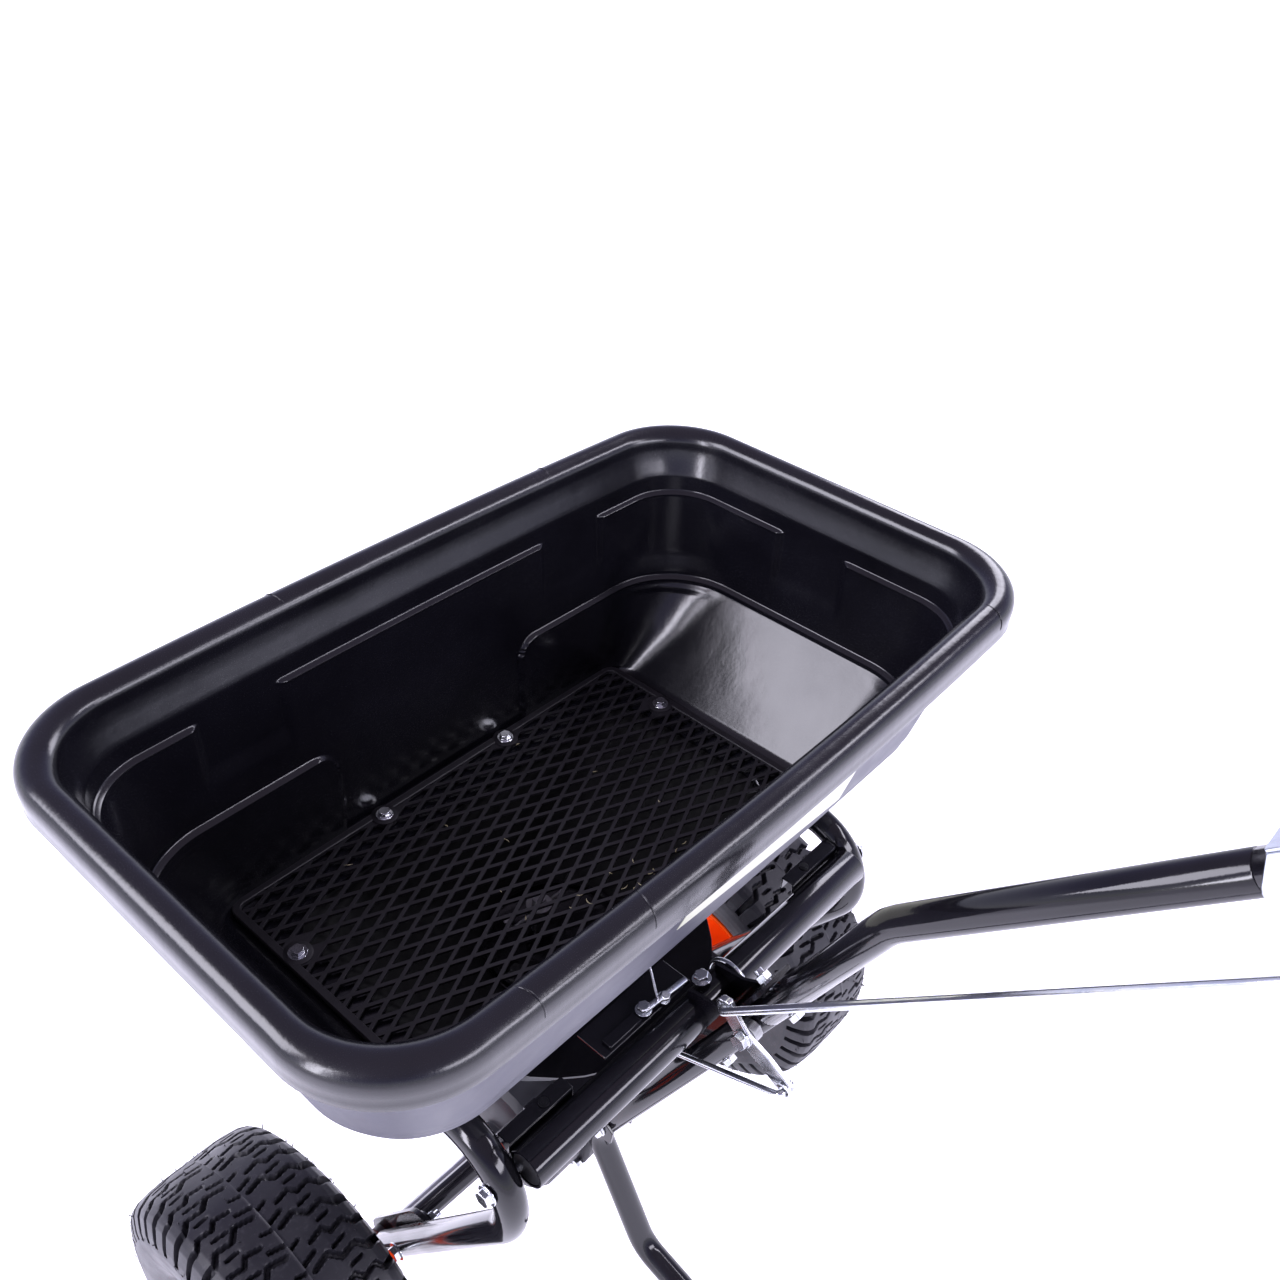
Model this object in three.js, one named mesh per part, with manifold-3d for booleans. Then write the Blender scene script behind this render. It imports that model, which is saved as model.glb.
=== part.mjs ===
// A walk-behind broadcast spreader: a rectangular moulded hopper on a bent steel tube frame, two
// pneumatic wheels, a ground-driven gearbox and impeller under the hopper, a slide gate worked by a
// lever on the handle through a control rod and a bell crank, and a tail-shaped stand.
// Millimetres. +X is the walker's right, +Y is the direction of travel, +Z is up, the ground is z = 0.
import * as THREE from "three";
import { mergeVertices } from "three/addons/utils/BufferGeometryUtils.js";
import Module from "manifold-3d";

const wasm = await Module();
wasm.setup();

// ---------------------------------------------------------------- driving dimensions
const HOPPER_Y = 246; // the hopper's middle ahead of the frame's origin
const GAP = 0.3; // space kept between touching pieces

const RIM = { top: 779, halfLength: 352, halfWidth: 206.5, corner: 79, bow: 8.4 };
const FLOOR_Z = 537.4; // underside of the hopper floor
const FLOOR_REAR_Y = -100; // the rear wall slopes in to here, while the front wall drops straight
const OUTLET = { y: 12, z: 436, radius: 72 };
const WALL = 4; // hopper wall

const SCREEN = { z: 543.5, thick: 3, halfLength: 226, front: 163, rear: -92, corner: 24 };
const SCREEN_BOLTS = [
  [-214, 83],
  [214, 83],
  [-72, 154],
  [72, 154],
];

const TUBE_R = 12.7; // 25.4 mm frame tube
const TUBE_WALL = 1.6;
const SIDE_X = 215; // planes of the two side tubes
const TOP_ARM_Z = 524;
const SIDE_BEND = 55;
const CROSS = { y: -157, z: 507, radius: 15.9, halfLength: 201.5 };

const AXLE = { y: 35, z: 168, radius: 8, halfLength: 384 };
const WHEEL = { x: 308, tyreRadius: 168, halfTread: 65.5, rimRadius: 82, hubHalf: 60 };
const HUB_R = 19;

const RING = { teeth: 36, pitch: 57, face: 12 }; // crown gear on the axle
const PINION = { teeth: 12, pitch: 19, face: 12 };
const TOOTH = { addendum: 2.6, dedendum: 3.4, backlash: 0.9 };
const GEARBOX = { left: -60, right: 26, radius: 70, wall: 4, flange: 79, neckTop: 264 };
const SHAFT_R = 6.35; // the upright shaft
const IMPELLER = { z: 396, radius: 131, vane: 22, vanes: 6 };

const GATE = { z: 428, thick: 3, travel: 19 };
const CRANK = { x: -26, thick: 4, y: -211.3, z: 536, halfWidth: 7.5 };
const CRANK_FRONT = [-192, 557]; // the control rod's joint (y, z)
const CRANK_REAR = [-254, 514]; // the link's joint
const LINK_FRONT = [-125, 456];
const ROD_R = 3.3;
const LINK_R = 2.6;
const EYE_PLAY = 1.8; // an eye's radius beyond the rod in it

// The handle and stand lie in the middle plane; each corner is (y, z, bend radius).
const STAND_CORNERS = [
  [-352, 15.5, 0],
  [-300, 15.5, 40],
  [-118, 72, 42],
  [-47, 203, 36],
  [-213.4, 546, 0],
];
const HANDLE_CORNERS = [
  [-213.7, 546.7, 0],
  [-291, 706.5, 70],
  [-470, 892.5, 0],
];
const HANDLE_TOP = [-640, 1069.2];
const CROSSBAR = { halfLength: 285, bend: 60, sweep: 22 };
const LEVER = { pivotY: -540, pivotZ: 965.3, arm: 46, rise: 179, lean: 31 };

const PAINT = { color: 0x0b0b0e, roughness: 0.22, metalness: 0.35 };
const ZINC = { color: 0xc9ccd2, roughness: 0.22, metalness: 1 };
const HOPPER_PLASTIC = { color: 0x0d0d10, roughness: 0.45, metalness: 0 };
const ORANGE = { color: 0xe63c05, roughness: 0.35, metalness: 0.1 };
const RUBBER = { color: 0x1b1b1d, roughness: 0.85, metalness: 0 };
const STEEL = { color: 0x8d9096, roughness: 0.35, metalness: 1 };
const NYLON = { color: 0x17171a, roughness: 0.5, metalness: 0 };

// ---------------------------------------------------------------- solid helpers
const spreader = new THREE.Group();
spreader.position.y = HOPPER_Y;

// A closed geometry as a solid.
function solid(geometry) {
  const bare = geometry.clone();
  bare.deleteAttribute("normal");
  bare.deleteAttribute("uv");
  const merged = mergeVertices(bare, 1e-4);
  return new wasm.Manifold(
    new wasm.Mesh({
      numProp: 3,
      vertProperties: merged.attributes.position.array,
      triVerts: new Uint32Array(merged.index.array),
    }),
  );
}

function geometryOf(shape) {
  const mesh = shape.getMesh();
  const geometry = new THREE.BufferGeometry();
  geometry.setAttribute("position", new THREE.BufferAttribute(mesh.vertProperties, 3));
  geometry.setIndex(new THREE.BufferAttribute(mesh.triVerts, 1));
  return geometry;
}

const join = (...shapes) => shapes.reduce((whole, next) => whole.add(next));
const cut = (shape, ...tools) => tools.reduce((left, tool) => left.subtract(tool), shape);

// A named node from a solid or a geometry, in the look of one material.
function node(name, shape, look) {
  const geometry = shape.isBufferGeometry ? shape : geometryOf(shape);
  if (!geometry.getAttribute("normal")) geometry.computeVertexNormals();
  const mesh = new THREE.Mesh(geometry, new THREE.MeshStandardMaterial(look));
  mesh.name = name;
  spreader.add(mesh);
  return mesh;
}

// A cylinder of sides faces between two points.
function rod(from, to, radius, sides = 16) {
  const start = new THREE.Vector3(...from);
  const axis = new THREE.Vector3(...to).sub(start);
  const geometry = new THREE.CylinderGeometry(radius, radius, axis.length(), sides);
  geometry.rotateY(Math.PI / sides);
  geometry.translate(0, axis.length() / 2, 0);
  const turn = new THREE.Quaternion();
  turn.setFromUnitVectors(new THREE.Vector3(0, 1, 0), axis.normalize());
  geometry.applyQuaternion(turn);
  geometry.translate(start.x, start.y, start.z);
  return solid(geometry);
}

function box(low, high) {
  const geometry = new THREE.BoxGeometry(high[0] - low[0], high[1] - low[1], high[2] - low[2]);
  geometry.translate((low[0] + high[0]) / 2, (low[1] + high[1]) / 2, (low[2] + high[2]) / 2);
  return solid(geometry);
}

// A flat plate from an outline in (y, z), lying between two x planes.
function sidePlate(outline, x0, x1) {
  const shape = new THREE.Shape(outline.map(([y, z]) => new THREE.Vector2(y, z)));
  const geometry = new THREE.ExtrudeGeometry(shape, { depth: x1 - x0, bevelEnabled: false });
  geometry.applyMatrix4(new THREE.Matrix4().set(0, 0, 1, x0, 1, 0, 0, 0, 0, 1, 0, 0, 0, 0, 0, 1));
  return solid(geometry);
}

// A flat plate from an outline in (x, y), lying between two heights.
function flatPlate(shape, z0, z1, curveSegments = 6) {
  const geometry = new THREE.ExtrudeGeometry(shape, { depth: z1 - z0, bevelEnabled: false, curveSegments });
  geometry.translate(0, 0, z0);
  return solid(geometry);
}

function roundedRect(halfX, halfY, r) {
  const shape = new THREE.Shape();
  shape.moveTo(halfX, -halfY + r);
  shape.lineTo(halfX, halfY - r);
  shape.absarc(halfX - r, halfY - r, r, 0, Math.PI / 2);
  shape.lineTo(-halfX + r, halfY);
  shape.absarc(-halfX + r, halfY - r, r, Math.PI / 2, Math.PI);
  shape.lineTo(-halfX, -halfY + r);
  shape.absarc(-halfX + r, -halfY + r, r, Math.PI, 1.5 * Math.PI);
  shape.lineTo(halfX - r, -halfY);
  shape.absarc(halfX - r, -halfY + r, r, 1.5 * Math.PI, 2 * Math.PI);
  return shape;
}

// A strap with round ends through points (y, z), as an outline for sidePlate.
function strap(points, halfWidth, endSteps = 6) {
  const outline = [];
  const side = (from, to, sign) => {
    const along = new THREE.Vector2(to[0] - from[0], to[1] - from[1]).normalize();
    return [-along.y * sign * halfWidth, along.x * sign * halfWidth];
  };
  const walk = (list) => {
    list.forEach((point, i) => {
      const before = i > 0 ? side(list[i - 1], point, -1) : null;
      const after = i < list.length - 1 ? side(point, list[i + 1], -1) : null;
      const middle = before && after && [(before[0] + after[0]) / 2, (before[1] + after[1]) / 2];
      const offset = middle || before || after;
      outline.push([point[0] + offset[0], point[1] + offset[1]]);
    });
    const last = list[list.length - 1];
    const out = side(list[list.length - 2], last, -1);
    const start = Math.atan2(out[1], out[0]);
    for (let i = 1; i < endSteps; i++) {
      const a = start + (Math.PI * i) / endSteps;
      outline.push([last[0] + halfWidth * Math.cos(a), last[1] + halfWidth * Math.sin(a)]);
    }
  };
  walk(points);
  walk([...points].reverse());
  return outline;
}

// The centre line of a bent tube: straight runs and round bends, sampled only where it turns.
class BentPath extends THREE.Curve {
  constructor(corners, arcSteps = 5) {
    super();
    this.stations = [];
    corners.forEach(({ point, bend }, i) => {
      if (!bend) {
        const other = corners[i === 0 ? 1 : i - 1].point;
        const tangent = point.clone().sub(other).normalize();
        this.stations.push({ point, tangent: i === 0 ? tangent.negate() : tangent });
        return;
      }
      const incoming = point.clone().sub(corners[i - 1].point).normalize();
      const outgoing = corners[i + 1].point.clone().sub(point).normalize();
      const turn = incoming.angleTo(outgoing);
      const reach = bend * Math.tan(turn / 2);
      const axis = incoming.clone().cross(outgoing).normalize();
      const start = point.clone().addScaledVector(incoming, -reach);
      const inward = axis.clone().cross(incoming);
      const centre = start.clone().addScaledVector(inward, bend);
      const steps = Math.max(2, Math.round((arcSteps * turn) / (Math.PI / 2)));
      for (let s = 0; s <= steps; s++) {
        const spoke = start.clone().sub(centre).applyAxisAngle(axis, (turn * s) / steps);
        const tangent = incoming.clone().applyAxisAngle(axis, (turn * s) / steps);
        this.stations.push({ point: centre.clone().add(spoke), tangent });
      }
    });
    this.steps = this.stations.length - 1;
  }
  getPoint(t) {
    return this.stations[Math.round(t * this.steps)].point.clone();
  }
  getPointAt(u) {
    return this.getPoint(u);
  }
  getTangent(t) {
    return this.stations[Math.round(t * this.steps)].tangent.clone();
  }
  getTangentAt(u) {
    return this.getTangent(u);
  }
}

// A bent tube; a wall of 0 makes it a solid bar.
function tube(corners, radius, wall = TUBE_WALL, sides = 10, arcSteps = 5) {
  const path = new BentPath(corners, arcSteps);
  const polygon = (r, count) => {
    const angles = [...Array(count).keys()].map((i) => (2 * Math.PI * (i + 0.5)) / count);
    return angles.map((a) => new THREE.Vector2(r * Math.cos(a), r * Math.sin(a)));
  };
  const section = new THREE.Shape(polygon(radius, sides));
  if (wall) section.holes.push(new THREE.Path(polygon(radius - wall, sides).reverse()));
  return solid(
    new THREE.ExtrudeGeometry(section, { steps: path.steps, extrudePath: path, bevelEnabled: false }),
  );
}

const at = (x, y, z, bend = 0) => ({ point: new THREE.Vector3(x, y, z), bend });
const inPlane = (x, corners) => corners.map(([y, z, bend]) => at(x, y, z, bend));

// A hexagon-headed bolt with its washer, head at the start of the axis, and a nut near the far end.
function bolt(from, to, { shank = 4, head = 7, headHeight = 5, washer = 9, nutAt = null } = {}) {
  const start = new THREE.Vector3(...from);
  const along = new THREE.Vector3(...to).sub(start).normalize();
  const point = (d) => start.clone().addScaledVector(along, d).toArray();
  const seat = washer ? -1.4 : 0;
  const parts = [rod(point(-0.1), to, shank, 10), rod(point(seat - headHeight), point(seat), head, 6)];
  if (washer) parts.push(rod(point(-1.5), point(0), washer, 14));
  if (nutAt !== null) parts.push(rod(point(nutAt), point(nutAt + 6), head, 6));
  return join(...parts);
}

// The clearance hole that such a bolt needs.
const hole = (from, to, radius = 4) => rod(from, to, radius + GAP, 10);

// A solid of revolution about an axis parallel to X, from a closed profile of (x, r) points.
function turned(profile, y, z, segments) {
  const points = profile.map(([x, r]) => new THREE.Vector2(r, x));
  const geometry = new THREE.LatheGeometry(points, segments);
  geometry.rotateZ(-Math.PI / 2);
  geometry.translate(0, y, z);
  return solid(geometry);
}

function mirrorX(shape) {
  return shape.mirror([1, 0, 0]);
}

// ---------------------------------------------------------------- hopper
// One level of the hopper: a rounded rectangle whose long sides swell by bow, morphing to a circle.
function level(z, halfX, halfY, corner, bow, centreY = 0, perCorner = 7, perSide = [2, 4]) {
  const points = [];
  const corners = [
    [1, 1],
    [-1, 1],
    [-1, -1],
    [1, -1],
  ];
  corners.forEach(([sx, sy], i) => {
    const cx = sx * (halfX - corner);
    const cy = sy * (halfY - corner);
    for (let s = 0; s < perCorner; s++) {
      const a = (Math.PI / 2) * (i + s / (perCorner - 1));
      points.push([cx + corner * Math.cos(a), cy + corner * Math.sin(a)]);
    }
    const next = corners[(i + 1) % 4];
    const nx = next[0] * (halfX - corner) + corner * Math.cos((Math.PI / 2) * (i + 1));
    const ny = next[1] * (halfY - corner) + corner * Math.sin((Math.PI / 2) * (i + 1));
    const last = points[points.length - 1];
    const count = perSide[(i + 1) % 2];
    for (let s = 1; s < count; s++) {
      points.push([last[0] + ((nx - last[0]) * s) / count, last[1] + ((ny - last[1]) * s) / count]);
    }
  });
  return points.map(([x, y]) => {
    const swell = bow * (1 - (x / halfX) ** 2) * Math.sign(y);
    return new THREE.Vector3(x, y + swell + centreY, z);
  });
}

// A closed skin through levels that return to the first one, such as outside up and inside down.
function ringLoft(levels) {
  const count = levels[0].length;
  const positions = new Float32Array(levels.flat().flatMap((p) => [p.x, p.y, p.z]));
  const index = [];
  levels.forEach((_, k) => {
    const here = k * count;
    const above = ((k + 1) % levels.length) * count;
    for (let i = 0; i < count; i++) {
      const j = (i + 1) % count;
      index.push(here + i, here + j, above + j, here + i, above + j, above + i);
    }
  });
  const geometry = new THREE.BufferGeometry();
  geometry.setAttribute("position", new THREE.BufferAttribute(positions, 3));
  geometry.setIndex(index);
  return geometry;
}

function hopper() {
  const { top, halfLength, halfWidth, corner, bow } = RIM;
  // (z, inset from the rim's outer edge along x, along y, corner radius, bow)
  const ring = (z, insetX, insetY, r, swell) => level(z, halfLength - insetX, halfWidth - insetY, r, swell);
  // A level near the floor, between a rear and a front y.
  const low = (z, halfX, rear, front, r) => level(z, halfX, (front - rear) / 2, r, 0, (front + rear) / 2);
  const outlet = (z, r) => level(z, r, r, r - 0.01, 0, OUTLET.y);
  const inside = FLOOR_Z + WALL;
  const levels = [
    outlet(OUTLET.z, OUTLET.radius),
    low(FLOOR_Z - 1, 198, FLOOR_REAR_Y + 32, 124, 40),
    low(FLOOR_Z, 200, FLOOR_REAR_Y + 30, 126, 42),
    low(FLOOR_Z, 238, FLOOR_REAR_Y, 170.5, 38),
    low(FLOOR_Z + 3, 240, FLOOR_REAR_Y - 2, 172, 38),
    ring(634, 38, 32, 50, 3),
    ring(642, 34, 30.5, 50, 3),
    ring(752, 22, 22, 60, 6),
    ring(760, 4, 4, 75, bow),
    ring(763, 1, 1, 78, bow),
    ring(771, 0, 0, corner, bow),
    ring(776.5, 3, 3, 77, bow),
    ring(top, 9, 9, 72, bow),
    ring(top, 17, 17, 66, bow),
    ring(776, 23, 23, 62, bow),
    ring(769, 25.5, 25.5, 60, bow - 1),
    ring(739, 32, 33, 56, 6),
    ring(726, 34, 35, 54, 5),
    ring(721, 38, 38, 51, 5),
    ring(637, 42, 37.5, 48, 3),
    ring(630, 46, 38.5, 46, 3),
    low(inside + 3, 235, FLOOR_REAR_Y + 4, 167.5, 34),
    low(inside, 233, FLOOR_REAR_Y + 6, 165.5, 32),
    low(inside, 196, FLOOR_REAR_Y + 34, 122, 38),
    low(inside - 2, 193, FLOOR_REAR_Y + 37, 119, 36),
    outlet(OUTLET.z, OUTLET.radius - WALL),
  ];
  const holes = SCREEN_BOLTS.map(([x, y]) => hole([x, y, FLOOR_Z - 3], [x, y, FLOOR_Z + 8], 3));
  return cut(solid(ringLoft(levels)), ...holes);
}
node("hopper", hopper(), HOPPER_PLASTIC);

// The metal base that closes the funnel and covers the impeller, with the feed opening, the shaft's
// hole, the gate's rails and a slot at the rear for the gate's lug.
const FEED = { halfWidth: 27, rear: -32, front: -14 };
const BASE = { top: OUTLET.z - GAP, thick: 2.5, radius: 141, railX: 40, railY0: -48, railY1: 66 };
const LUG_SLOT = { halfWidth: 6, front: -108 };
function shutoffBase() {
  const disc = new THREE.Shape().absarc(0, OUTLET.y, BASE.radius, 0, 2 * Math.PI);
  const plate = flatPlate(disc, BASE.top - BASE.thick, BASE.top, 20);
  const spigotR = OUTLET.radius - WALL - 1.2;
  const spigot = cut(
    rod([0, OUTLET.y, BASE.top - 1], [0, OUTLET.y, BASE.top + 7], spigotR, 28),
    rod([0, OUTLET.y, BASE.top - 2], [0, OUTLET.y, BASE.top + 8], spigotR - 3, 28),
  );
  const rails = [-1, 1].map((side) => {
    const { railX, railY0, railY1, top } = BASE;
    const wall = box([railX, railY0, GATE.z - 2.5], [railX + 4, railY1, top - 1]);
    const lip = box([railX - 5, railY0, GATE.z - 2.5], [railX + 1, railY1, GATE.z - GAP]);
    return side < 0 ? mirrorX(wall.add(lip)) : wall.add(lip);
  });
  const feed = box([-FEED.halfWidth, FEED.rear, OUTLET.z - 5], [FEED.halfWidth, FEED.front, OUTLET.z + 4]);
  const shaft = rod([0, AXLE.y, OUTLET.z - 5], [0, AXLE.y, OUTLET.z + 4], 7.2, 16);
  const lugSlot = box(
    [CRANK.x - LUG_SLOT.halfWidth, OUTLET.y - BASE.radius - 5, OUTLET.z - 5],
    [CRANK.x + LUG_SLOT.halfWidth, LUG_SLOT.front, OUTLET.z + 4],
  );
  return cut(join(plate, spigot, ...rails), feed, shaft, lugSlot);
}
node("shutoff_base", shutoffBase(), PAINT);

// ---------------------------------------------------------------- screen and its bolts
function screen() {
  const { z, thick, halfLength, front, rear, corner } = SCREEN;
  const [middle, halfWidth] = [(front + rear) / 2, (front - rear) / 2];
  const [pitchX, pitchY, strand] = [74, 54, 5];
  const [hx, hy] = [pitchX / 2 - strand, pitchY / 2 - strand * 0.7];
  const diamond = [
    [hx, 0],
    [0, hy],
    [-hx, 0],
    [0, -hy],
  ];
  const outline = new THREE.Shape(diamond.map((point) => new THREE.Vector2(...point)));
  const opening = flatPlate(outline, z - 1, z + 5);
  const openings = [];
  for (let row = -6; row <= 6; row++) {
    for (let col = -6; col <= 6; col++) {
      const [cx, cy] = [(col * pitchX) / 2, middle + (row * pitchY) / 2];
      const nearBolt = SCREEN_BOLTS.some(([bx, by]) => Math.abs(cx - bx) < 34 && Math.abs(cy - by) < 24);
      const inside = Math.abs(cx) + hx < halfLength - 6 && Math.abs(cy - middle) + hy < halfWidth - 5;
      if ((row + col) % 2 === 0 && inside && !nearBolt) openings.push(opening.translate([cx, cy, 0]));
    }
  }
  const holes = SCREEN_BOLTS.map(([x, y]) => hole([x, y, z - 2], [x, y, z + 8], 3));
  const plate = flatPlate(roundedRect(halfLength, halfWidth, corner), z, z + thick);
  return cut(plate.translate([0, middle, 0]), ...openings, ...holes);
}
node("hopper_screen", screen(), { color: 0x141417, roughness: 0.5, metalness: 0.2 });

SCREEN_BOLTS.forEach(([x, y], i) => {
  const top = SCREEN.z + SCREEN.thick + GAP;
  const size = { shank: 3, head: 5.5, headHeight: 4, washer: 8 };
  const shape = bolt([x, y, top], [x, y, TOP_ARM_Z - TUBE_R - 9], size);
  node(`screen_bolt_${i + 1}`, shape, ZINC);
});

// ---------------------------------------------------------------- tube frame
const ARM_FRONT_Y = 144;
const ARM_RISE = 1.486; // how steeply the lower arm climbs from the axle, as rise over run
function sideTube() {
  const rearCornerY = AXLE.y - (TOP_ARM_Z - AXLE.z) / ARM_RISE;
  const reach = new THREE.Vector2(AXLE.y - rearCornerY, AXLE.z - TOP_ARM_Z).normalize();
  const end = [AXLE.y - reach.x * 40, AXLE.z - reach.y * 40];
  const path = [at(-SIDE_X, ARM_FRONT_Y, TOP_ARM_Z), at(-SIDE_X, rearCornerY, TOP_ARM_Z, SIDE_BEND)];
  return { shape: tube([...path, at(-SIDE_X, ...end)], TUBE_R, TUBE_WALL, 10, 7), reach };
}
const side = sideTube();
const crossBolt = { y: -147, z: 497 };
const hangerBolt = [AXLE.y - side.reach.x * 105, AXLE.z - side.reach.y * 105];
const floorBolts = SCREEN_BOLTS.map(([x, y]) => hole([x, y, TOP_ARM_Z - 20], [x, y, TOP_ARM_Z + 20], 3));
const leftTube = cut(
  side.shape,
  hole([-SIDE_X - 20, crossBolt.y, crossBolt.z], [-SIDE_X + 20, crossBolt.y, crossBolt.z]),
  hole([-SIDE_X - 20, ...hangerBolt], [-SIDE_X + 20, ...hangerBolt]),
  floorBolts[0],
);
node("left_side_tube", leftTube, PAINT);
node("right_side_tube", mirrorX(leftTube), PAINT);

const railEnd = SIDE_X + 2;
const FRONT_RAIL_Y = ARM_FRONT_Y + GAP + TUBE_R + GAP;
const frontRail = tube([at(-railEnd, FRONT_RAIL_Y, TOP_ARM_Z), at(railEnd, FRONT_RAIL_Y, TOP_ARM_Z)], TUBE_R);
node("front_rail", cut(frontRail, floorBolts[2], floorBolts[3]), PAINT);

function crossTube() {
  const { y, z, radius, halfLength } = CROSS;
  const body = tube([at(-halfLength, y, z), at(halfLength, y, z)], radius, 2, 16);
  const across = (s, x0, x1, at0) => [[s * x0, ...at0], [s * x1, ...at0]];
  const plug = (s) => rod(...across(s, halfLength - 9, halfLength - 0.1, [y, z]), radius - 1, 16);
  const plugs = [-1, 1].map(plug);
  const boltAt = [crossBolt.y, crossBolt.z];
  const bolts = [-1, 1].map((s) => hole(...across(s, halfLength - 40, SIDE_X + 25, boltAt)));
  return cut(join(body, ...plugs), ...bolts);
}
node("cross_tube", crossTube(), PAINT);
[-1, 1].forEach((s) => {
  const outer = s * (SIDE_X + TUBE_R + GAP);
  const inner = s * (CROSS.halfLength - 14);
  const shape = bolt([outer, crossBolt.y, crossBolt.z], [inner, crossBolt.y, crossBolt.z]);
  node(`cross_tube_bolt_${s < 0 ? "left" : "right"}`, shape, ZINC);
});

// Hangers carry the axle below the side tubes; nylon bushings line their bores.
const TAB = 4; // thickness of a brace's flattened end
const HANGER = { x0: -SIDE_X + TUBE_R + GAP, thick: 5 };
const BUSH_R = 13;
function hanger() {
  const outline = strap([hangerBolt, [AXLE.y, AXLE.z]], 19, 8);
  const plate = sidePlate(outline, HANGER.x0, HANGER.x0 + HANGER.thick);
  const axleBore = rod([HANGER.x0 - 5, AXLE.y, AXLE.z], [HANGER.x0 + 10, AXLE.y, AXLE.z], BUSH_R + GAP, 20);
  return cut(plate, axleBore, hole([HANGER.x0 - 5, ...hangerBolt], [HANGER.x0 + 10, ...hangerBolt]));
}
const leftHanger = hanger();
node("left_axle_hanger", leftHanger, PAINT);
node("right_axle_hanger", mirrorX(leftHanger), PAINT);

function bushing() {
  const [x0, x1] = [HANGER.x0 - 7, HANGER.x0 + HANGER.thick + 5];
  const sleeve = rod([x0, AXLE.y, AXLE.z], [x1, AXLE.y, AXLE.z], BUSH_R, 20);
  const flange = rod([HANGER.x0 + HANGER.thick + GAP, AXLE.y, AXLE.z], [x1, AXLE.y, AXLE.z], BUSH_R + 4, 20);
  const bore = rod([x0 - 1, AXLE.y, AXLE.z], [x1 + 1, AXLE.y, AXLE.z], AXLE.radius + GAP, 20);
  return cut(join(sleeve, flange), bore);
}
const leftBushing = bushing();
node("left_axle_bushing", leftBushing, NYLON);
node("right_axle_bushing", mirrorX(leftBushing), NYLON);
[-1, 1].forEach((s) => {
  const outer = [s * (SIDE_X + TUBE_R + GAP), ...hangerBolt];
  const inner = [s * (SIDE_X - TUBE_R - 21), ...hangerBolt];
  const nutAt = 2 * TUBE_R + HANGER.thick + TAB + 4 * GAP;
  node(`${s < 0 ? "left" : "right"}_hanger_bolt`, bolt(outer, inner, { nutAt }), ZINC);
});

// ---------------------------------------------------------------- stand, handle and their brackets
const PIVOT_BOLT = [CRANK.y, CRANK.z];
const GEARBOX_BOLT = [-64, 240];
const HANDLE_BOLTS = [
  [-223.5, 567],
  [-172.5, 461.6],
];
const acrossHandle = new THREE.Vector2(0.9, 0.436); // square to the lower handle, towards the front
const boltLine = ([y, z], back, front) => [
  [0, y - acrossHandle.x * back, z - acrossHandle.y * back],
  [0, y + acrossHandle.x * front, z + acrossHandle.y * front],
];
const handleHoles = HANDLE_BOLTS.map((place) => hole(...boltLine(place, 20, 20)));
const standTube = cut(
  tube(inPlane(0, STAND_CORNERS), TUBE_R, TUBE_WALL, 10, 6),
  hole([-20, ...PIVOT_BOLT], [20, ...PIVOT_BOLT]),
  hole([-20, ...GEARBOX_BOLT], [20, ...GEARBOX_BOLT]),
  handleHoles[1],
);
node("stand_tube", standTube, PAINT);
// A boot closes the end of the stand; its underside is cut flat where it meets the ground.
function standFoot() {
  const [end, z] = STAND_CORNERS[0];
  const boot = rod([0, end - 5, z], [0, end + 30, z], z + 0.5, 16);
  const bore = rod([0, end - GAP, z], [0, end + 40, z], TUBE_R + GAP, 16);
  return cut(boot, bore, box([-50, end - 50, -50], [50, end + 50, 0]));
}
node("stand_foot", standFoot(), NYLON);
node("handle_tube", cut(tube(inPlane(0, HANDLE_CORNERS), TUBE_R, TUBE_WALL, 10, 6), handleHoles[0]), PAINT);

// A folded channel in front of the handle, welded under the cross tube's back.
function handleBracket() {
  const offset = TUBE_R + GAP;
  const line = (d, place) => [place[0] + acrossHandle.x * d, place[1] + acrossHandle.y * d];
  const [top, bottom] = [
    [-229, 578.4],
    [-167, 450.2],
  ];
  const outline = [line(offset, top), line(offset, bottom), line(offset + 4, bottom), line(offset + 4, top)];
  const web = sidePlate(outline, -16, 16);
  const clear = rod([-60, CROSS.y, CROSS.z], [60, CROSS.y, CROSS.z], CROSS.radius + GAP, 24);
  const [high, low] = [line(offset, [-212, 543.3]), line(offset, [-182, 481.2])];
  const ear = sidePlate([high, low, [-150, 484], [-150, 530], [-178, 535]], 15.7, 18.7);
  const [frontLow, frontHigh] = [line(offset + 4, [-182, 481.2]), line(offset + 4, [-212, 543.3])];
  const wide = sidePlate([high, low, frontLow, frontHigh], -18.7, 18.7);
  return cut(join(web, wide, ear, mirrorX(ear)), clear, ...handleHoles);
}
node("handle_bracket", handleBracket(), PAINT);
HANDLE_BOLTS.forEach((place, i) => {
  const [back, front] = boltLine(place, TUBE_R + GAP, TUBE_R + 16);
  const shape = bolt(back, front, { shank: 3.6, head: 6.5, washer: 0, nutAt: 2 * TUBE_R + 4 + 3 * GAP + 1 });
  node(`handle_bolt_${i ? "lower" : "upper"}`, shape, ZINC);
});

// A round-bent clip over the cross tube, hooked through the channel's ears.
function crossClip() {
  const radius = CROSS.radius + GAP + ROD_R;
  const x = 27;
  const arc = [...Array(9).keys()].map((i) => {
    const a = (-0.25 + (1.3 * i) / 8) * Math.PI;
    return at(x, CROSS.y + radius * Math.cos(a), CROSS.z + radius * Math.sin(a));
  });
  const path = new THREE.CatmullRomCurve3(arc.map((station) => station.point));
  const section = new THREE.Shape().absarc(0, 0, ROD_R, 0, 2 * Math.PI);
  return solid(new THREE.ExtrudeGeometry(section, { steps: 14, extrudePath: path, curveSegments: 4 }));
}
node("cross_tube_clip", crossClip(), ZINC);

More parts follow.
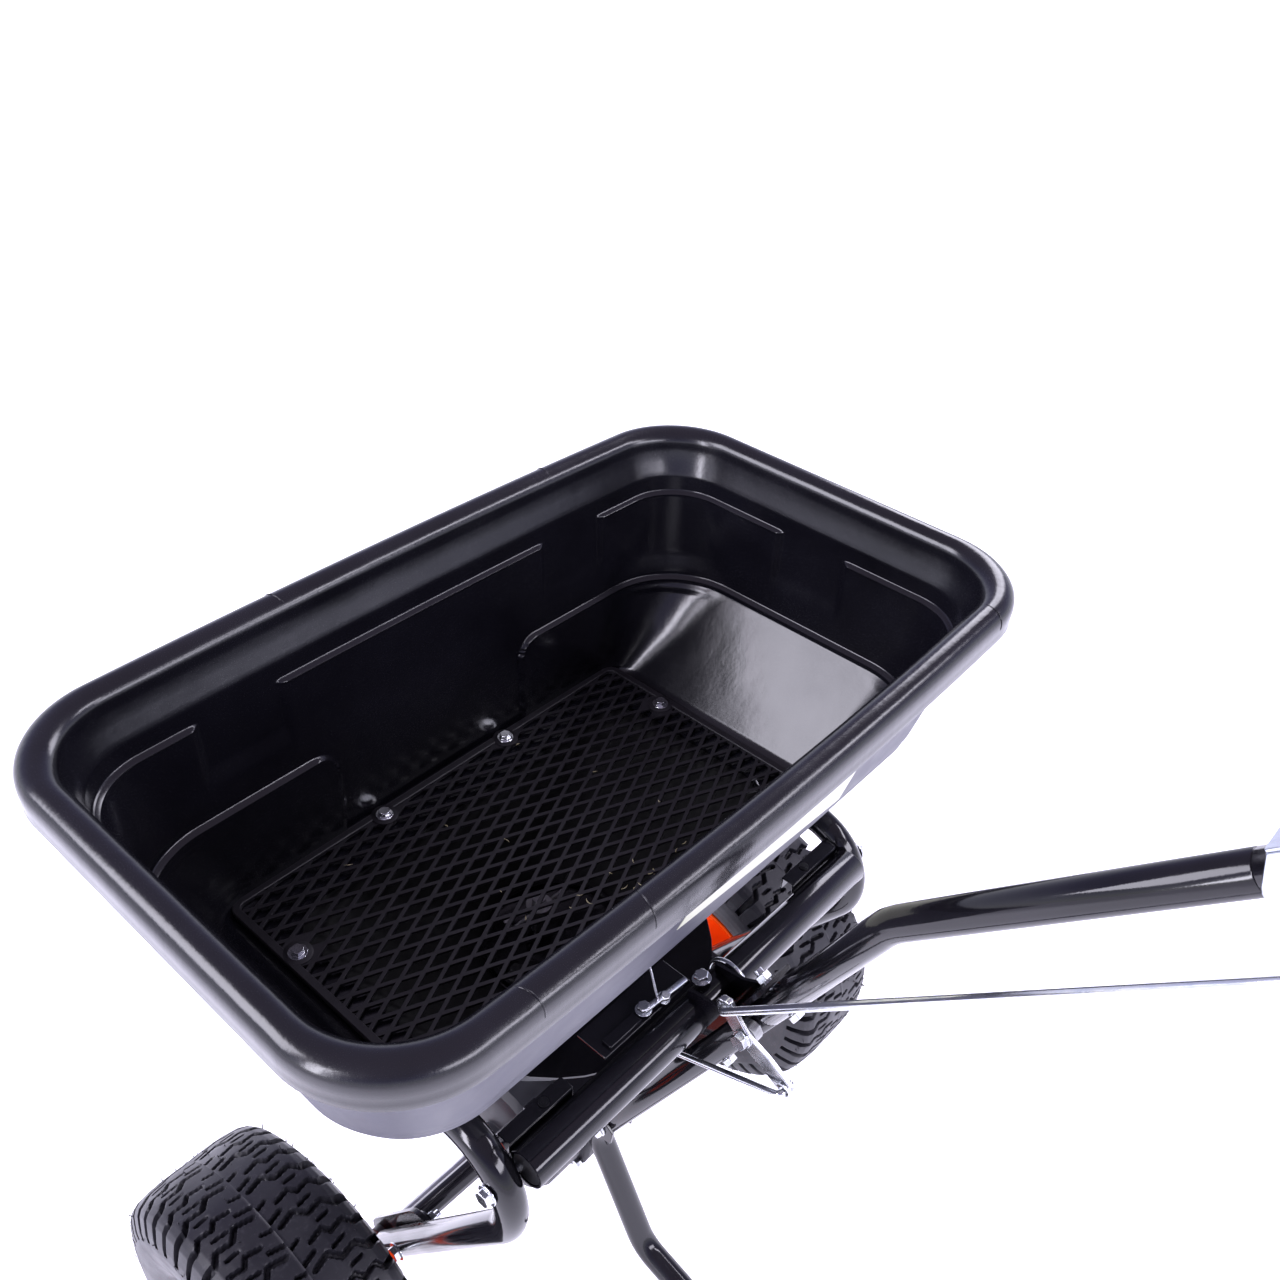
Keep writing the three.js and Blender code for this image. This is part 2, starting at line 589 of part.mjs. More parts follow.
// ---------------------------------------------------------------- upper handle, crossbar and grips
const handleEnd = HANDLE_CORNERS[HANDLE_CORNERS.length - 1];
const handleRun = new THREE.Vector2(HANDLE_TOP[0] - handleEnd[0], HANDLE_TOP[1] - handleEnd[1]).normalize();
const alongHandle = (d) => [handleEnd[0] + handleRun.x * d, handleEnd[1] + handleRun.y * d];
const upperTop = [HANDLE_TOP[0] - handleRun.x * (TUBE_R + GAP), HANDLE_TOP[1] - handleRun.y * (TUBE_R + GAP)];
const leverPivot = [LEVER.pivotY, LEVER.pivotZ];
node(
  "upper_handle",
  cut(
    tube([at(0, ...alongHandle(GAP)), at(0, ...upperTop)], TUBE_R),
    hole([-20, ...leverPivot], [20, ...leverPivot]),
  ),
  PAINT,
);

function crossbar() {
  const [y, z] = HANDLE_TOP;
  const sweep = THREE.MathUtils.degToRad(CROSSBAR.sweep);
  const knee = 150;
  const run = CROSSBAR.halfLength - knee;
  const tip = (s) => at(s * (knee + run * Math.cos(sweep)), y - run * Math.sin(sweep), z);
  const path = [tip(-1), at(-knee, y, z, CROSSBAR.bend), at(knee, y, z, CROSSBAR.bend), tip(1)];
  return { shape: tube(path, TUBE_R, TUBE_WALL, 10, 7), tip, sweep, knee };
}
const bar = crossbar();
node("handle_crossbar", bar.shape, PAINT);
[-1, 1].forEach((s) => {
  const end = bar.tip(s).point;
  const inward = new THREE.Vector3(-s * Math.cos(bar.sweep), Math.sin(bar.sweep), 0);
  const place = (d) => end.clone().addScaledVector(inward, d).toArray();
  const sleeve = rod(place(-4), place(112), 16.5, 18);
  const bore = rod(place(GAP * -1), place(113), TUBE_R + GAP, 18);
  node(`${s < 0 ? "left" : "right"}_grip`, cut(sleeve, bore), RUBBER);
});

// A folded zinc saddle clamps the handle joint and carries the lever's pivot.
const SADDLE = { inner: TUBE_R + GAP, thick: 2.5 };
function leverSaddle() {
  const square = new THREE.Vector2(-handleRun.y, handleRun.x); // square to the handle, towards the ground
  const point = (along, down) => {
    const base = alongHandle(along);
    return [base[0] + square.x * down, base[1] + square.y * down];
  };
  const low = 20;
  const high = -17;
  const corner = 8;
  const outline = [
    point(0, high),
    point(118, high),
    point(118, low - corner),
    point(118 - corner, low),
    point(corner, low),
    point(0, low - corner),
  ];
  const cheeks = [-1, 1].map((s) => {
    const [x0, x1] = [s * SADDLE.inner, s * (SADDLE.inner + SADDLE.thick)];
    return sidePlate(outline, Math.min(x0, x1), Math.max(x0, x1));
  });
  const roof = sidePlate(
    [point(0, high), point(118, high), point(118, high - SADDLE.thick), point(0, high - SADDLE.thick)],
    -SADDLE.inner - SADDLE.thick,
    SADDLE.inner + SADDLE.thick,
  );
  return cut(join(...cheeks, roof), hole([-30, ...leverPivot], [30, ...leverPivot]));
}
node("lever_saddle", leverSaddle(), ZINC);
const leverFace = SADDLE.inner + SADDLE.thick + GAP;
const LEVER_THICK = 4;
const leverX1 = -leverFace;
const leverX0 = leverX1 - LEVER_THICK;
node(
  "lever_pivot_bolt",
  bolt([leverX0 - GAP, ...leverPivot], [leverFace + 8, ...leverPivot], {
    washer: 8,
    nutAt: 2 * leverFace + LEVER_THICK + GAP,
  }),
  ZINC,
);

// ---------------------------------------------------------------- gearbox
function gearboxBody() {
  const { left, right, radius, wall, flange, neckTop } = GEARBOX;
  const shell = [
    [left, 0],
    [left, radius - 14],
    [left + 4, radius - 4],
    [left + 12, radius],
    [-5, radius],
    [-5, flange],
    [5, flange],
    [5, radius],
    [right - 8, radius],
    [right - 2, radius - 5],
    [right, radius - 14],
    [right, 0],
  ];
  const neck = rod([0, AXLE.y, AXLE.z], [0, AXLE.y, neckTop], 19, 20);
  const bosses = rod([left - 8, AXLE.y, AXLE.z], [right + 8, AXLE.y, AXLE.z], 17, 20);
  const outside = join(turned(shell, AXLE.y, AXLE.z, 28), neck, bosses);
  const cavity = [
    [left + wall, 0],
    [left + wall, radius - wall - 2],
    [right - wall, radius - wall - 2],
    [right - wall, 0],
  ];
  const axleBore = rod([left - 20, AXLE.y, AXLE.z], [right + 20, AXLE.y, AXLE.z], AXLE.radius + GAP, 20);
  const shaftBore = rod([0, AXLE.y, AXLE.z], [0, AXLE.y, neckTop + 5], SHAFT_R + GAP, 16);
  const pinionRoom = rod([0, AXLE.y, AXLE.z], [0, AXLE.y, AXLE.z + RING.pitch + 14], 24.5, 24);
  return cut(outside, turned(cavity, AXLE.y, AXLE.z, 28), axleBore, shaftBore, pinionRoom);
}
const GEARBOX_BOLT_ANGLES = [-150, -92, 12];
const flangeSpot = (degrees) => {
  const a = THREE.MathUtils.degToRad(degrees);
  return [AXLE.y + 74.5 * Math.cos(a), AXLE.z + 74.5 * Math.sin(a)];
};
const gearbox = cut(
  gearboxBody(),
  ...GEARBOX_BOLT_ANGLES.map((a) => hole([-20, ...flangeSpot(a)], [20, ...flangeSpot(a)], 2.5)),
);
const halfSpace = (x0, x1) => box([x0, -120, 40], [x1, 160, 320]);
node("gearbox_left", gearbox.intersect(halfSpace(-120, -GAP / 2)), { ...NYLON, color: 0x24242a });
node("gearbox_right", gearbox.intersect(halfSpace(GAP / 2, 120)), { ...NYLON, color: 0x24242a });
GEARBOX_BOLT_ANGLES.forEach((a, i) => {
  const size = { shank: 2.5, head: 4.5, headHeight: 3.5, washer: 0, nutAt: 10.9 };
  const shape = bolt([5 + GAP, ...flangeSpot(a)], [-11, ...flangeSpot(a)], size);
  node(`gearbox_bolt_${i + 1}`, shape, ZINC);
});

// A channel ties the gearbox and both braces to the stand tube.
const BRACE_SEAT_Z = 262;
function gearboxBracket() {
  const inner = TUBE_R + GAP;
  const outline = [
    [-78, 228],
    [-62, 224],
    [-24, BRACE_SEAT_Z - 12],
    [-8, BRACE_SEAT_Z - 10],
    [-8, BRACE_SEAT_Z],
    [-60, BRACE_SEAT_Z],
    [-80, 246],
  ];
  const cheeks = [-1, 1].map((s) => {
    const [x0, x1] = [s * inner, s * (inner + 3)];
    return sidePlate(outline, Math.min(x0, x1), Math.max(x0, x1));
  });
  const shelf = box([-52, -34, BRACE_SEAT_Z - 3], [52, -8, BRACE_SEAT_Z]);
  return cut(join(...cheeks, shelf), hole([-30, ...GEARBOX_BOLT], [30, ...GEARBOX_BOLT]), ...braceHoles());
}
function braceHoles() {
  return [-1, 1].map((s) => hole([s * 38, -21, BRACE_SEAT_Z - 8], [s * 38, -21, BRACE_SEAT_Z + 12], 3));
}
node("gearbox_bracket", gearboxBracket(), PAINT);
const bracketBolt = bolt([-TUBE_R - 3 - 2 * GAP, ...GEARBOX_BOLT], [28, ...GEARBOX_BOLT], {
  washer: 8,
  nutAt: 2 * TUBE_R + 6 + 4 * GAP,
});
node("gearbox_bracket_bolt", bracketBolt, ZINC);

// Braces run from the hangers up to the bracket, flattened and bolted where they end.
function brace() {
  const outer = [-188, 3, 221];
  const inner = [-56, -21, BRACE_SEAT_Z + GAP + 6];
  const body = tube([at(...outer), at(...inner)], 10, 0, 10);
  const tongue = box([-66, -33, BRACE_SEAT_Z + GAP], [-26, -9, BRACE_SEAT_Z + GAP + 5]);
  const root = box([-66, -31, BRACE_SEAT_Z + GAP], [-52, -11, BRACE_SEAT_Z + GAP + 12]);
  const x0 = HANGER.x0 + HANGER.thick + GAP;
  const tab = sidePlate(strap([hangerBolt, [9, 205]], 12, 6), x0, x0 + TAB);
  const heel = rod([x0 + 2, 3.4, 220.2], outer, 10, 10);
  const tabHole = hole([-SIDE_X, ...hangerBolt], [-150, ...hangerBolt]);
  return cut(join(body, tongue, root, tab, heel), ...braceHoles(), tabHole);
}
const leftBrace = brace();
node("left_brace", leftBrace, PAINT);
node("right_brace", mirrorX(leftBrace), PAINT);

// ---------------------------------------------------------------- gears, shaft, impeller, agitator
// One pinion or ring tooth outline, narrowing to its tip, about a pitch line at 0.
function toothHalfWidth(pitchWidth, height) {
  return pitchWidth / 2 - TOOTH.backlash / 2 - height * Math.tan(THREE.MathUtils.degToRad(20));
}

// The upright shaft, with the pinion moulded round its lower end.
const SHAFT = { low: AXLE.z + 22, high: 476 };
function pinionShaft() {
  const { teeth, pitch, face } = PINION;
  const width = (Math.PI * pitch) / teeth;
  const z0 = AXLE.z + RING.pitch - face / 2;
  const outline = [];
  for (let i = 0; i < teeth; i++) {
    const a = (2 * Math.PI * i) / teeth;
    const point = (height, sign) => {
      const r = pitch + height;
      const half = (sign * toothHalfWidth(width, height)) / r;
      return new THREE.Vector2(r * Math.cos(a + half), r * Math.sin(a + half));
    };
    outline.push(point(-TOOTH.dedendum, -1), point(0, -1), point(TOOTH.addendum, -1));
    outline.push(point(TOOTH.addendum, 1), point(0, 1), point(-TOOTH.dedendum, 1));
  }
  const gear = flatPlate(new THREE.Shape(outline), z0, z0 + face).translate([0, AXLE.y, 0]);
  const collar = rod([0, AXLE.y, z0 + face - 0.1], [0, AXLE.y, z0 + face + 8], 11, 16);
  return join(rod([0, AXLE.y, SHAFT.low], [0, AXLE.y, SHAFT.high], SHAFT_R, 16), gear, collar);
}

// The ring gear's teeth stand out of its face towards the pinion, a gap at the very top.
function ringGear() {
  const { teeth, pitch, face } = RING;
  const width = (Math.PI * pitch) / teeth;
  const facePlane = -PINION.pitch;
  const root = facePlane - TOOTH.dedendum;
  const body = turned(
    [
      [root - 8, AXLE.radius + GAP],
      [root - 8, pitch + face / 2],
      [root, pitch + face / 2],
      [root, pitch - face / 2],
      [root - 4, pitch - face / 2 - 4],
      [root - 4, 22],
      [root + 12, 20],
      [root + 12, AXLE.radius + GAP],
      [root - 8, AXLE.radius + GAP],
    ],
    0,
    0,
    36,
  );
  const tooth = (i) => {
    const outline = [
      [-toothHalfWidth(width, -TOOTH.dedendum), root - 0.5],
      [toothHalfWidth(width, -TOOTH.dedendum), root - 0.5],
      [toothHalfWidth(width, TOOTH.addendum), facePlane + TOOTH.addendum],
      [-toothHalfWidth(width, TOOTH.addendum), facePlane + TOOTH.addendum],
    ];
    const shape = new THREE.Shape(outline.map(([y, x]) => new THREE.Vector2(x, y)));
    const bar = flatPlate(shape, pitch - face / 2 + 0.5, pitch + face / 2 - 0.5);
    return bar.rotate([(360 * (i + 0.5)) / teeth, 0, 0]);
  };
  const shapes = [...Array(teeth).keys()].map(tooth);
  return join(body, ...shapes).translate([0, AXLE.y, AXLE.z]);
}
const ringBore = rod([-70, AXLE.y, AXLE.z], [30, AXLE.y, AXLE.z], AXLE.radius + GAP, 20);
node("ring_gear", cut(ringGear(), ringBore), NYLON);
node("pinion_shaft", pinionShaft(), STEEL);

function impeller() {
  const { z, radius, vane, vanes } = IMPELLER;
  const disc = rod([0, AXLE.y, z], [0, AXLE.y, z + 3], radius, 40);
  const rim = cut(
    rod([0, AXLE.y, z - 4], [0, AXLE.y, z + 3], radius, 40),
    rod([0, AXLE.y, z - 5], [0, AXLE.y, z + 4], radius - 3, 40),
  );
  const hub = rod([0, AXLE.y, z - 16], [0, AXLE.y, z + vane - 2], 15, 20);
  const blades = [...Array(vanes).keys()].map((i) => {
    const blade = box([10, -1.5, z + 2], [radius - 2, 1.5, z + 3 + vane - 4]);
    const lip = box([40, -1.5, z + vane - 4], [radius - 2, 7, z + vane - 1]);
    return join(blade, lip).rotate([0, 0, (360 * i) / vanes]).translate([0, AXLE.y, 0]);
  });
  const bore = rod([0, AXLE.y, z - 30], [0, AXLE.y, z + 40], SHAFT_R + GAP, 16);
  return cut(join(disc, rim, hub, ...blades), bore);
}
node("impeller", impeller(), { color: 0x2b2b30, roughness: 0.5, metalness: 0 });

function agitator() {
  const z = 452;
  const hub = rod([0, AXLE.y, z], [0, AXLE.y, z + 16], 12, 16);
  const fingers = [-1, 1].map((s) => {
    const path = [at(s * 6, AXLE.y, z + 8), at(s * 34, AXLE.y, z + 8, 8), at(s * 40, AXLE.y, z + 26)];
    return tube(path, 2.6, 0, 8, 4);
  });
  return cut(join(hub, ...fingers), rod([0, AXLE.y, z - 5], [0, AXLE.y, z + 30], SHAFT_R + GAP, 16));
}
node("agitator", agitator(), STEEL);

// ---------------------------------------------------------------- axle and wheels
const PIN_X = -WHEEL.x + WHEEL.hubHalf - 9;
const pinLine = (x) => [
  [x, AXLE.y, AXLE.z - 27],
  [x, AXLE.y, AXLE.z + 27],
];
const axleBar = rod([-AXLE.halfLength, AXLE.y, AXLE.z], [AXLE.halfLength, AXLE.y, AXLE.z], AXLE.radius, 20);
node("axle", cut(axleBar, rod(...pinLine(PIN_X), 2.5 + GAP, 10)), STEEL);

function rim() {
  const { rimRadius, hubHalf } = WHEEL;
  const bore = AXLE.radius + GAP;
  const half = [
    [-hubHalf, bore],
    [-hubHalf, HUB_R],
    [-10, HUB_R + 3],
    [-6, 34],
    [-14, rimRadius - 17],
    [-46, rimRadius - 11],
    [-52, rimRadius + 2],
    [-48.5, rimRadius + 2],
    [-45, rimRadius - 7],
    [-20, rimRadius - 12],
    [20, rimRadius - 12],
    [45, rimRadius - 7],
    [48.5, rimRadius + 2],
    [52, rimRadius + 2],
    [46, rimRadius - 11],
    [-9, rimRadius - 17],
    [-1, 34],
    [3, HUB_R + 3],
    [hubHalf, HUB_R],
    [hubHalf, bore],
    [-hubHalf, bore],
  ];
  return turned(half, 0, 0, 32);
}
// The tyre is a carcass open to the rim's well between its beads.
function tyre() {
  const { tyreRadius, halfTread, rimRadius } = WHEEL;
  const outer = [
    [47.4, rimRadius + 2.8],
    [60, rimRadius + 17],
    [halfTread, rimRadius + 46],
    [60, rimRadius + 73],
    [46, tyreRadius - 4],
    [20, tyreRadius],
  ];
  const inner = [
    [18, tyreRadius - 9],
    [44, tyreRadius - 14],
    [59, rimRadius + 44],
    [52, rimRadius + 15],
    [36, rimRadius + 3],
    [36, rimRadius - 6.5],
    [43.5, rimRadius - 5],
  ];
  const half = [...[...outer].reverse(), ...[...inner].reverse()];
  const mirrored = half.map(([x, r]) => [-x, r]).reverse();
  const ring = [...mirrored, ...half];
  return turned([...ring, ring[0]], 0, 0, 32);
}
const VALVE = { angle: 40 };
function valve() {
  const a = THREE.MathUtils.degToRad(VALVE.angle);
  const at2 = (r, x) => [x, r * Math.cos(a), r * Math.sin(a)];
  const stem = rod(at2(WHEEL.rimRadius - 18.5, 22), at2(WHEEL.rimRadius - 30, 46), 3.4, 10);
  const cap = rod(at2(WHEEL.rimRadius - 28, 42), at2(WHEEL.rimRadius - 32, 50), 4.4, 10);
  return join(stem, cap);
}
const wheelPieces = { rim: rim(), tyre: tyre(), valve: valve() };
[-1, 1].forEach((s) => {
  const name = s < 0 ? "left" : "right";
  const place = (shape) => (s < 0 ? mirrorX(shape) : shape).translate([s * WHEEL.x, AXLE.y, AXLE.z]);
  const pinned = s < 0 ? [rod(...pinLine(PIN_X), 2.5 + GAP, 10)] : [];
  node(`${name}_rim`, cut(place(wheelPieces.rim), ...pinned), ORANGE);
  node(`${name}_tyre`, place(wheelPieces.tyre), RUBBER);
  node(`${name}_valve`, place(wheelPieces.valve), NYLON);
});
node("drive_pin", rod(...pinLine(PIN_X), 2.5, 10), ZINC);

// ---------------------------------------------------------------- gate and linkage
function gatePlate() {
  const z0 = GATE.z;
  const z1 = GATE.z + GATE.thick;
  const plate = box([-39.7, -82, z0], [39.7, 8, z1]);
  const window = box(
    [-FEED.halfWidth, FEED.rear - GATE.travel - 0.5, z0 - 1],
    [FEED.halfWidth, FEED.front - GATE.travel, z1 + 1],
  );
  const tail = box([CRANK.x - 9, -134, z0], [CRANK.x + 9, -81, z1]);
  const lug = sidePlate(
    [
      [LINK_FRONT[0] - 8, z0],
      [LINK_FRONT[0] + 8, z0],
      [LINK_FRONT[0] + 7, LINK_FRONT[1] + 3],
      [LINK_FRONT[0], LINK_FRONT[1] + 8],
      [LINK_FRONT[0] - 7, LINK_FRONT[1] + 3],
    ],
    CRANK.x - CRANK.thick / 2,
    CRANK.x + CRANK.thick / 2,
  );
  const eye = rod([CRANK.x - 10, ...LINK_FRONT], [CRANK.x + 10, ...LINK_FRONT], LINK_R + EYE_PLAY, 12);
  return cut(join(plate, tail, lug), window, eye);
}
node("gate_plate", gatePlate(), ZINC);

function bellCrank() {
  const outline = strap([CRANK_FRONT, PIVOT_BOLT, [-233, 527], CRANK_REAR], CRANK.halfWidth, 6);
  const plate = sidePlate(outline, CRANK.x - CRANK.thick / 2, CRANK.x + CRANK.thick / 2);
  const bore = (place, radius) => rod([CRANK.x - 10, ...place], [CRANK.x + 10, ...place], radius, 14);
  const eyes = [bore(CRANK_FRONT, ROD_R + EYE_PLAY), bore(CRANK_REAR, LINK_R + EYE_PLAY)];
  return cut(plate, ...eyes, bore(PIVOT_BOLT, 4 + GAP));
}
node("bell_crank", bellCrank(), ZINC);
const crankFace = CRANK.x - CRANK.thick / 2 - GAP;
node(
  "crank_pivot_bolt",
  join(
    bolt([crankFace, ...PIVOT_BOLT], [TUBE_R + 12, ...PIVOT_BOLT], {
      washer: 8,
      nutAt: TUBE_R + GAP - crankFace,
    }),
    rod([CRANK.x + CRANK.thick / 2 + GAP, ...PIVOT_BOLT], [-TUBE_R - GAP, ...PIVOT_BOLT], 7, 14),
  ),
  ZINC,
);

// The link: a thin rod beside the crank whose ends turn inwards through the two eyes.
function linkRod() {
  const x = crankFace - LINK_R - 3;
  const inside = CRANK.x + CRANK.thick / 2 + 5;
  return tube(
    [at(inside, ...CRANK_REAR), at(x, ...CRANK_REAR, 5), at(x, ...LINK_FRONT, 5), at(inside, ...LINK_FRONT)],
    LINK_R,
    0,
    8,
    4,
  );
}
node("link_rod", linkRod(), ZINC);

// The control rod: hooked through the crank below and through the lever above.
const square = new THREE.Vector2(-handleRun.y, handleRun.x);
const LEVER_JOINT = [leverPivot[0] + square.x * LEVER.arm, leverPivot[1] + square.y * LEVER.arm];
function controlRod() {
  const lowX = crankFace - ROD_R - 4;
  const highX = leverX0 - GAP - ROD_R - 4;
  return tube(
    [
      at(CRANK.x + CRANK.thick / 2 + 3, ...CRANK_FRONT),
      at(lowX, ...CRANK_FRONT, 7),
      at(highX, ...LEVER_JOINT, 7),
      at(leverX1 + 2.5, ...LEVER_JOINT),
    ],
    ROD_R,
    0,
    8,
    4,
  );
}
node("control_rod", controlRod(), ZINC);

// The flow lever swings on the saddle; its lower arm works the rod.
const LEVER_TOP = [leverPivot[0] - LEVER.lean, leverPivot[1] + LEVER.rise];
function flowLever() {
  const outline = strap([LEVER_JOINT, leverPivot, LEVER_TOP], 10, 8);
  const plate = sidePlate(outline, leverX0, leverX1);
  const bore = (place, radius) => rod([leverX0 - 5, ...place], [leverX1 + 5, ...place], radius, 14);
  return cut(plate, bore(leverPivot, 4 + GAP), bore(LEVER_JOINT, ROD_R + EYE_PLAY));
}
node("flow_lever", flowLever(), ZINC);
function leverKnob() {
  const slope = new THREE.Vector2(LEVER_TOP[0] - leverPivot[0], LEVER_TOP[1] - leverPivot[1]).normalize();
  const place = (d) => [(leverX0 + leverX1) / 2, LEVER_TOP[0] + slope.x * d, LEVER_TOP[1] + slope.y * d];
  const knob = rod(place(-40), place(22), 14, 18);
  const slotPoints = strap([leverPivot, LEVER_TOP], 10 + GAP, 8);
  return cut(knob, sidePlate(slotPoints, leverX0 - GAP, leverX1 + GAP));
}
node("lever_grip", leverKnob(), RUBBER);

const root = new THREE.Group();
root.add(spreader);
export default root;
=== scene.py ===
import bpy
import bmesh
import math
import random
import numpy as np
from mathutils import Matrix, Vector


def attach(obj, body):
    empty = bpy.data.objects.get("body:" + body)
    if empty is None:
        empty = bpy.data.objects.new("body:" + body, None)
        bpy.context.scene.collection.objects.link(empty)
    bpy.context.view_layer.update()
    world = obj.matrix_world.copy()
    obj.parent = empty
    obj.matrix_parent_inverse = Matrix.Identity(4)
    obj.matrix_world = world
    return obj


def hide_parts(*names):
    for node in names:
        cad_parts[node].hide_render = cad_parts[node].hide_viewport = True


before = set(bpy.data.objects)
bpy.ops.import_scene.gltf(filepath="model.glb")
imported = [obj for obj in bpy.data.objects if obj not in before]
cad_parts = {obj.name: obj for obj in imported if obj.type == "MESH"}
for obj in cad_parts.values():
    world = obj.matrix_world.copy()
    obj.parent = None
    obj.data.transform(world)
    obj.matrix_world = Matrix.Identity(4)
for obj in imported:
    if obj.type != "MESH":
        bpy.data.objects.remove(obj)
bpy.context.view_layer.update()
rng = random.Random(7)
HOPPER_Y = 246.0  # the hopper's middle ahead of the frame's origin, mm

# ------------------------------------------------------------------ materials


def material(name, base, rough, metal=0.0, coat=0.0, coat_rough=0.05, spec=0.5):
    mat = bpy.data.materials.new(name)
    mat.use_nodes = True
    tree = mat.node_tree
    shader = tree.nodes["Principled BSDF"]
    shader.inputs["Base Color"].default_value = (*base, 1)
    shader.inputs["Roughness"].default_value = rough
    shader.inputs["Metallic"].default_value = metal
    shader.inputs["Coat Weight"].default_value = coat
    shader.inputs["Coat Roughness"].default_value = coat_rough
    shader.inputs["Specular IOR Level"].default_value = spec
    coords = tree.nodes.new("ShaderNodeTexCoord")
    return mat, tree, shader, coords.outputs["Object"]


def noise(tree, coords, scale, detail=4.0, rough=0.55, stretch=None):
    if stretch:
        mapping = tree.nodes.new("ShaderNodeMapping")
        mapping.inputs["Scale"].default_value = stretch
        tree.links.new(coords, mapping.inputs["Vector"])
        coords = mapping.outputs["Vector"]
    node = tree.nodes.new("ShaderNodeTexNoise")
    node.inputs["Scale"].default_value = scale
    node.inputs["Detail"].default_value = detail
    node.inputs["Roughness"].default_value = rough
    tree.links.new(coords, node.inputs["Vector"])
    return node.outputs["Fac"]


def spread(tree, value, low, high, from_low=0.3, from_high=0.7):
    node = tree.nodes.new("ShaderNodeMapRange")
    node.inputs["From Min"].default_value = from_low
    node.inputs["From Max"].default_value = from_high
    node.inputs["To Min"].default_value = low
    node.inputs["To Max"].default_value = high
    tree.links.new(value, node.inputs["Value"])
    return node.outputs["Result"]


def blend_colour(tree, factor, a, b):
    node = tree.nodes.new("ShaderNodeMix")
    node.data_type = "RGBA"
    node.inputs["A"].default_value = (*a, 1)
    node.inputs["B"].default_value = (*b, 1)
    tree.links.new(factor, node.inputs["Factor"])
    return node.outputs["Result"]


def tint(tree, shader, factor, a, b):
    tree.links.new(blend_colour(tree, factor, a, b), shader.inputs["Base Color"])


def roughen(tree, shader, value, low, high):
    tree.links.new(spread(tree, value, low, high), shader.inputs["Roughness"])


def bump(tree, shader, heights):
    """Stacked bumps; each entry gives a height, a strength and a distance in metres."""
    previous = None
    for height, strength, distance in heights:
        node = tree.nodes.new("ShaderNodeBump")
        node.inputs["Strength"].default_value = strength
        node.inputs["Distance"].default_value = distance
        tree.links.new(height, node.inputs["Height"])
        if previous:
            tree.links.new(previous, node.inputs["Normal"])
        previous = node.outputs["Normal"]
    tree.links.new(previous, shader.inputs["Normal"])


def hopper_plastic():
    mat, tree, shader, co = material("hopper_plastic", (0.004, 0.0036, 0.005), 0.3, spec=0.6)
    cloud = noise(tree, co, 9, 5)
    fine = noise(tree, co, 420, 3)
    drag = noise(tree, co, 22, 5, 0.6, (1, 1, 0.16))
    dust = noise(tree, co, 1400, 2, 0.7)
    tint(tree, shader, spread(tree, cloud, 0, 1), (0.0028, 0.0026, 0.0042), (0.0062, 0.006, 0.0095))
    wear = tree.nodes.new("ShaderNodeMath")
    wear.operation = "ADD"
    tree.links.new(spread(tree, cloud, 0.17, 0.27), wear.inputs[0])
    tree.links.new(spread(tree, dust, 0.0, 0.12, 0.6, 0.75), wear.inputs[1])
    tree.links.new(wear.outputs[0], shader.inputs["Roughness"])
    bump(tree, shader, [(drag, 0.3, 0.0018), (cloud, 0.25, 0.002), (fine, 0.1, 0.0003)])
    return mat


def gloss_paint(name, dark, light, rough=(0.08, 0.17)):
    mat, tree, shader, co = material(name, dark, 0.1, coat=0.12, coat_rough=0.03, spec=0.4)
    cloud = noise(tree, co, 16, 4)
    peel = noise(tree, co, 380, 2)
    fleck = noise(tree, co, 2200, 2)
    tint(tree, shader, spread(tree, cloud, 0, 1), dark, light)
    roughen(tree, shader, cloud, *rough)
    bump(tree, shader, [(peel, 0.07, 0.0005), (fleck, 0.04, 0.0001)])
    return mat


def zinc_plate(name, dark, light):
    mat, tree, shader, co = material(name, dark, 0.16, metal=1.0)
    cloud = noise(tree, co, 70, 4)
    scratch = noise(tree, co, 160, 3, 0.7, (1, 0.12, 0.12))
    fine = noise(tree, co, 1500, 2)
    tint(tree, shader, spread(tree, cloud, 0, 1), dark, light)
    roughen(tree, shader, scratch, 0.1, 0.3)
    bump(tree, shader, [(scratch, 0.1, 0.0003), (fine, 0.06, 0.0001)])
    return mat


def plain_steel():
    mat, tree, shader, co = material("steel", (0.42, 0.42, 0.43), 0.32, metal=1.0)
    cloud = noise(tree, co, 50, 5)
    grain = noise(tree, co, 500, 3, 0.6, (0.08, 1, 1))
    tint(tree, shader, spread(tree, cloud, 0, 1), (0.33, 0.33, 0.34), (0.5, 0.5, 0.5))
    roughen(tree, shader, grain, 0.25, 0.45)
    bump(tree, shader, [(grain, 0.12, 0.0002)])
    return mat


DUST_FROM, DUST_TO = 0.545, 0.85  # the noise range over which dust shows on rubber


def rubber(name, dark, light, rough=(0.55, 0.8)):
    mat, tree, shader, co = material(name, dark, 0.7, spec=0.45)
    cloud = noise(tree, co, 26, 6)
    grain = noise(tree, co, 900, 4)
    dust = noise(tree, co, 240, 6, 0.75)
    tint(tree, shader, spread(tree, dust, 0, 1, DUST_FROM, DUST_TO), dark, light)
    roughen(tree, shader, cloud, *rough)
    bump(tree, shader, [(cloud, 0.1, 0.001), (grain, 0.25, 0.0002)])
    return mat


def matte_plastic(name, dark, light, rough=(0.38, 0.55)):
    mat, tree, shader, co = material(name, dark, 0.45)
    cloud = noise(tree, co, 40, 4)
    grain = noise(tree, co, 1300, 3)
    tint(tree, shader, spread(tree, cloud, 0, 1), dark, light)
    roughen(tree, shader, cloud, *rough)
    bump(tree, shader, [(grain, 0.15, 0.0002)])
    return mat


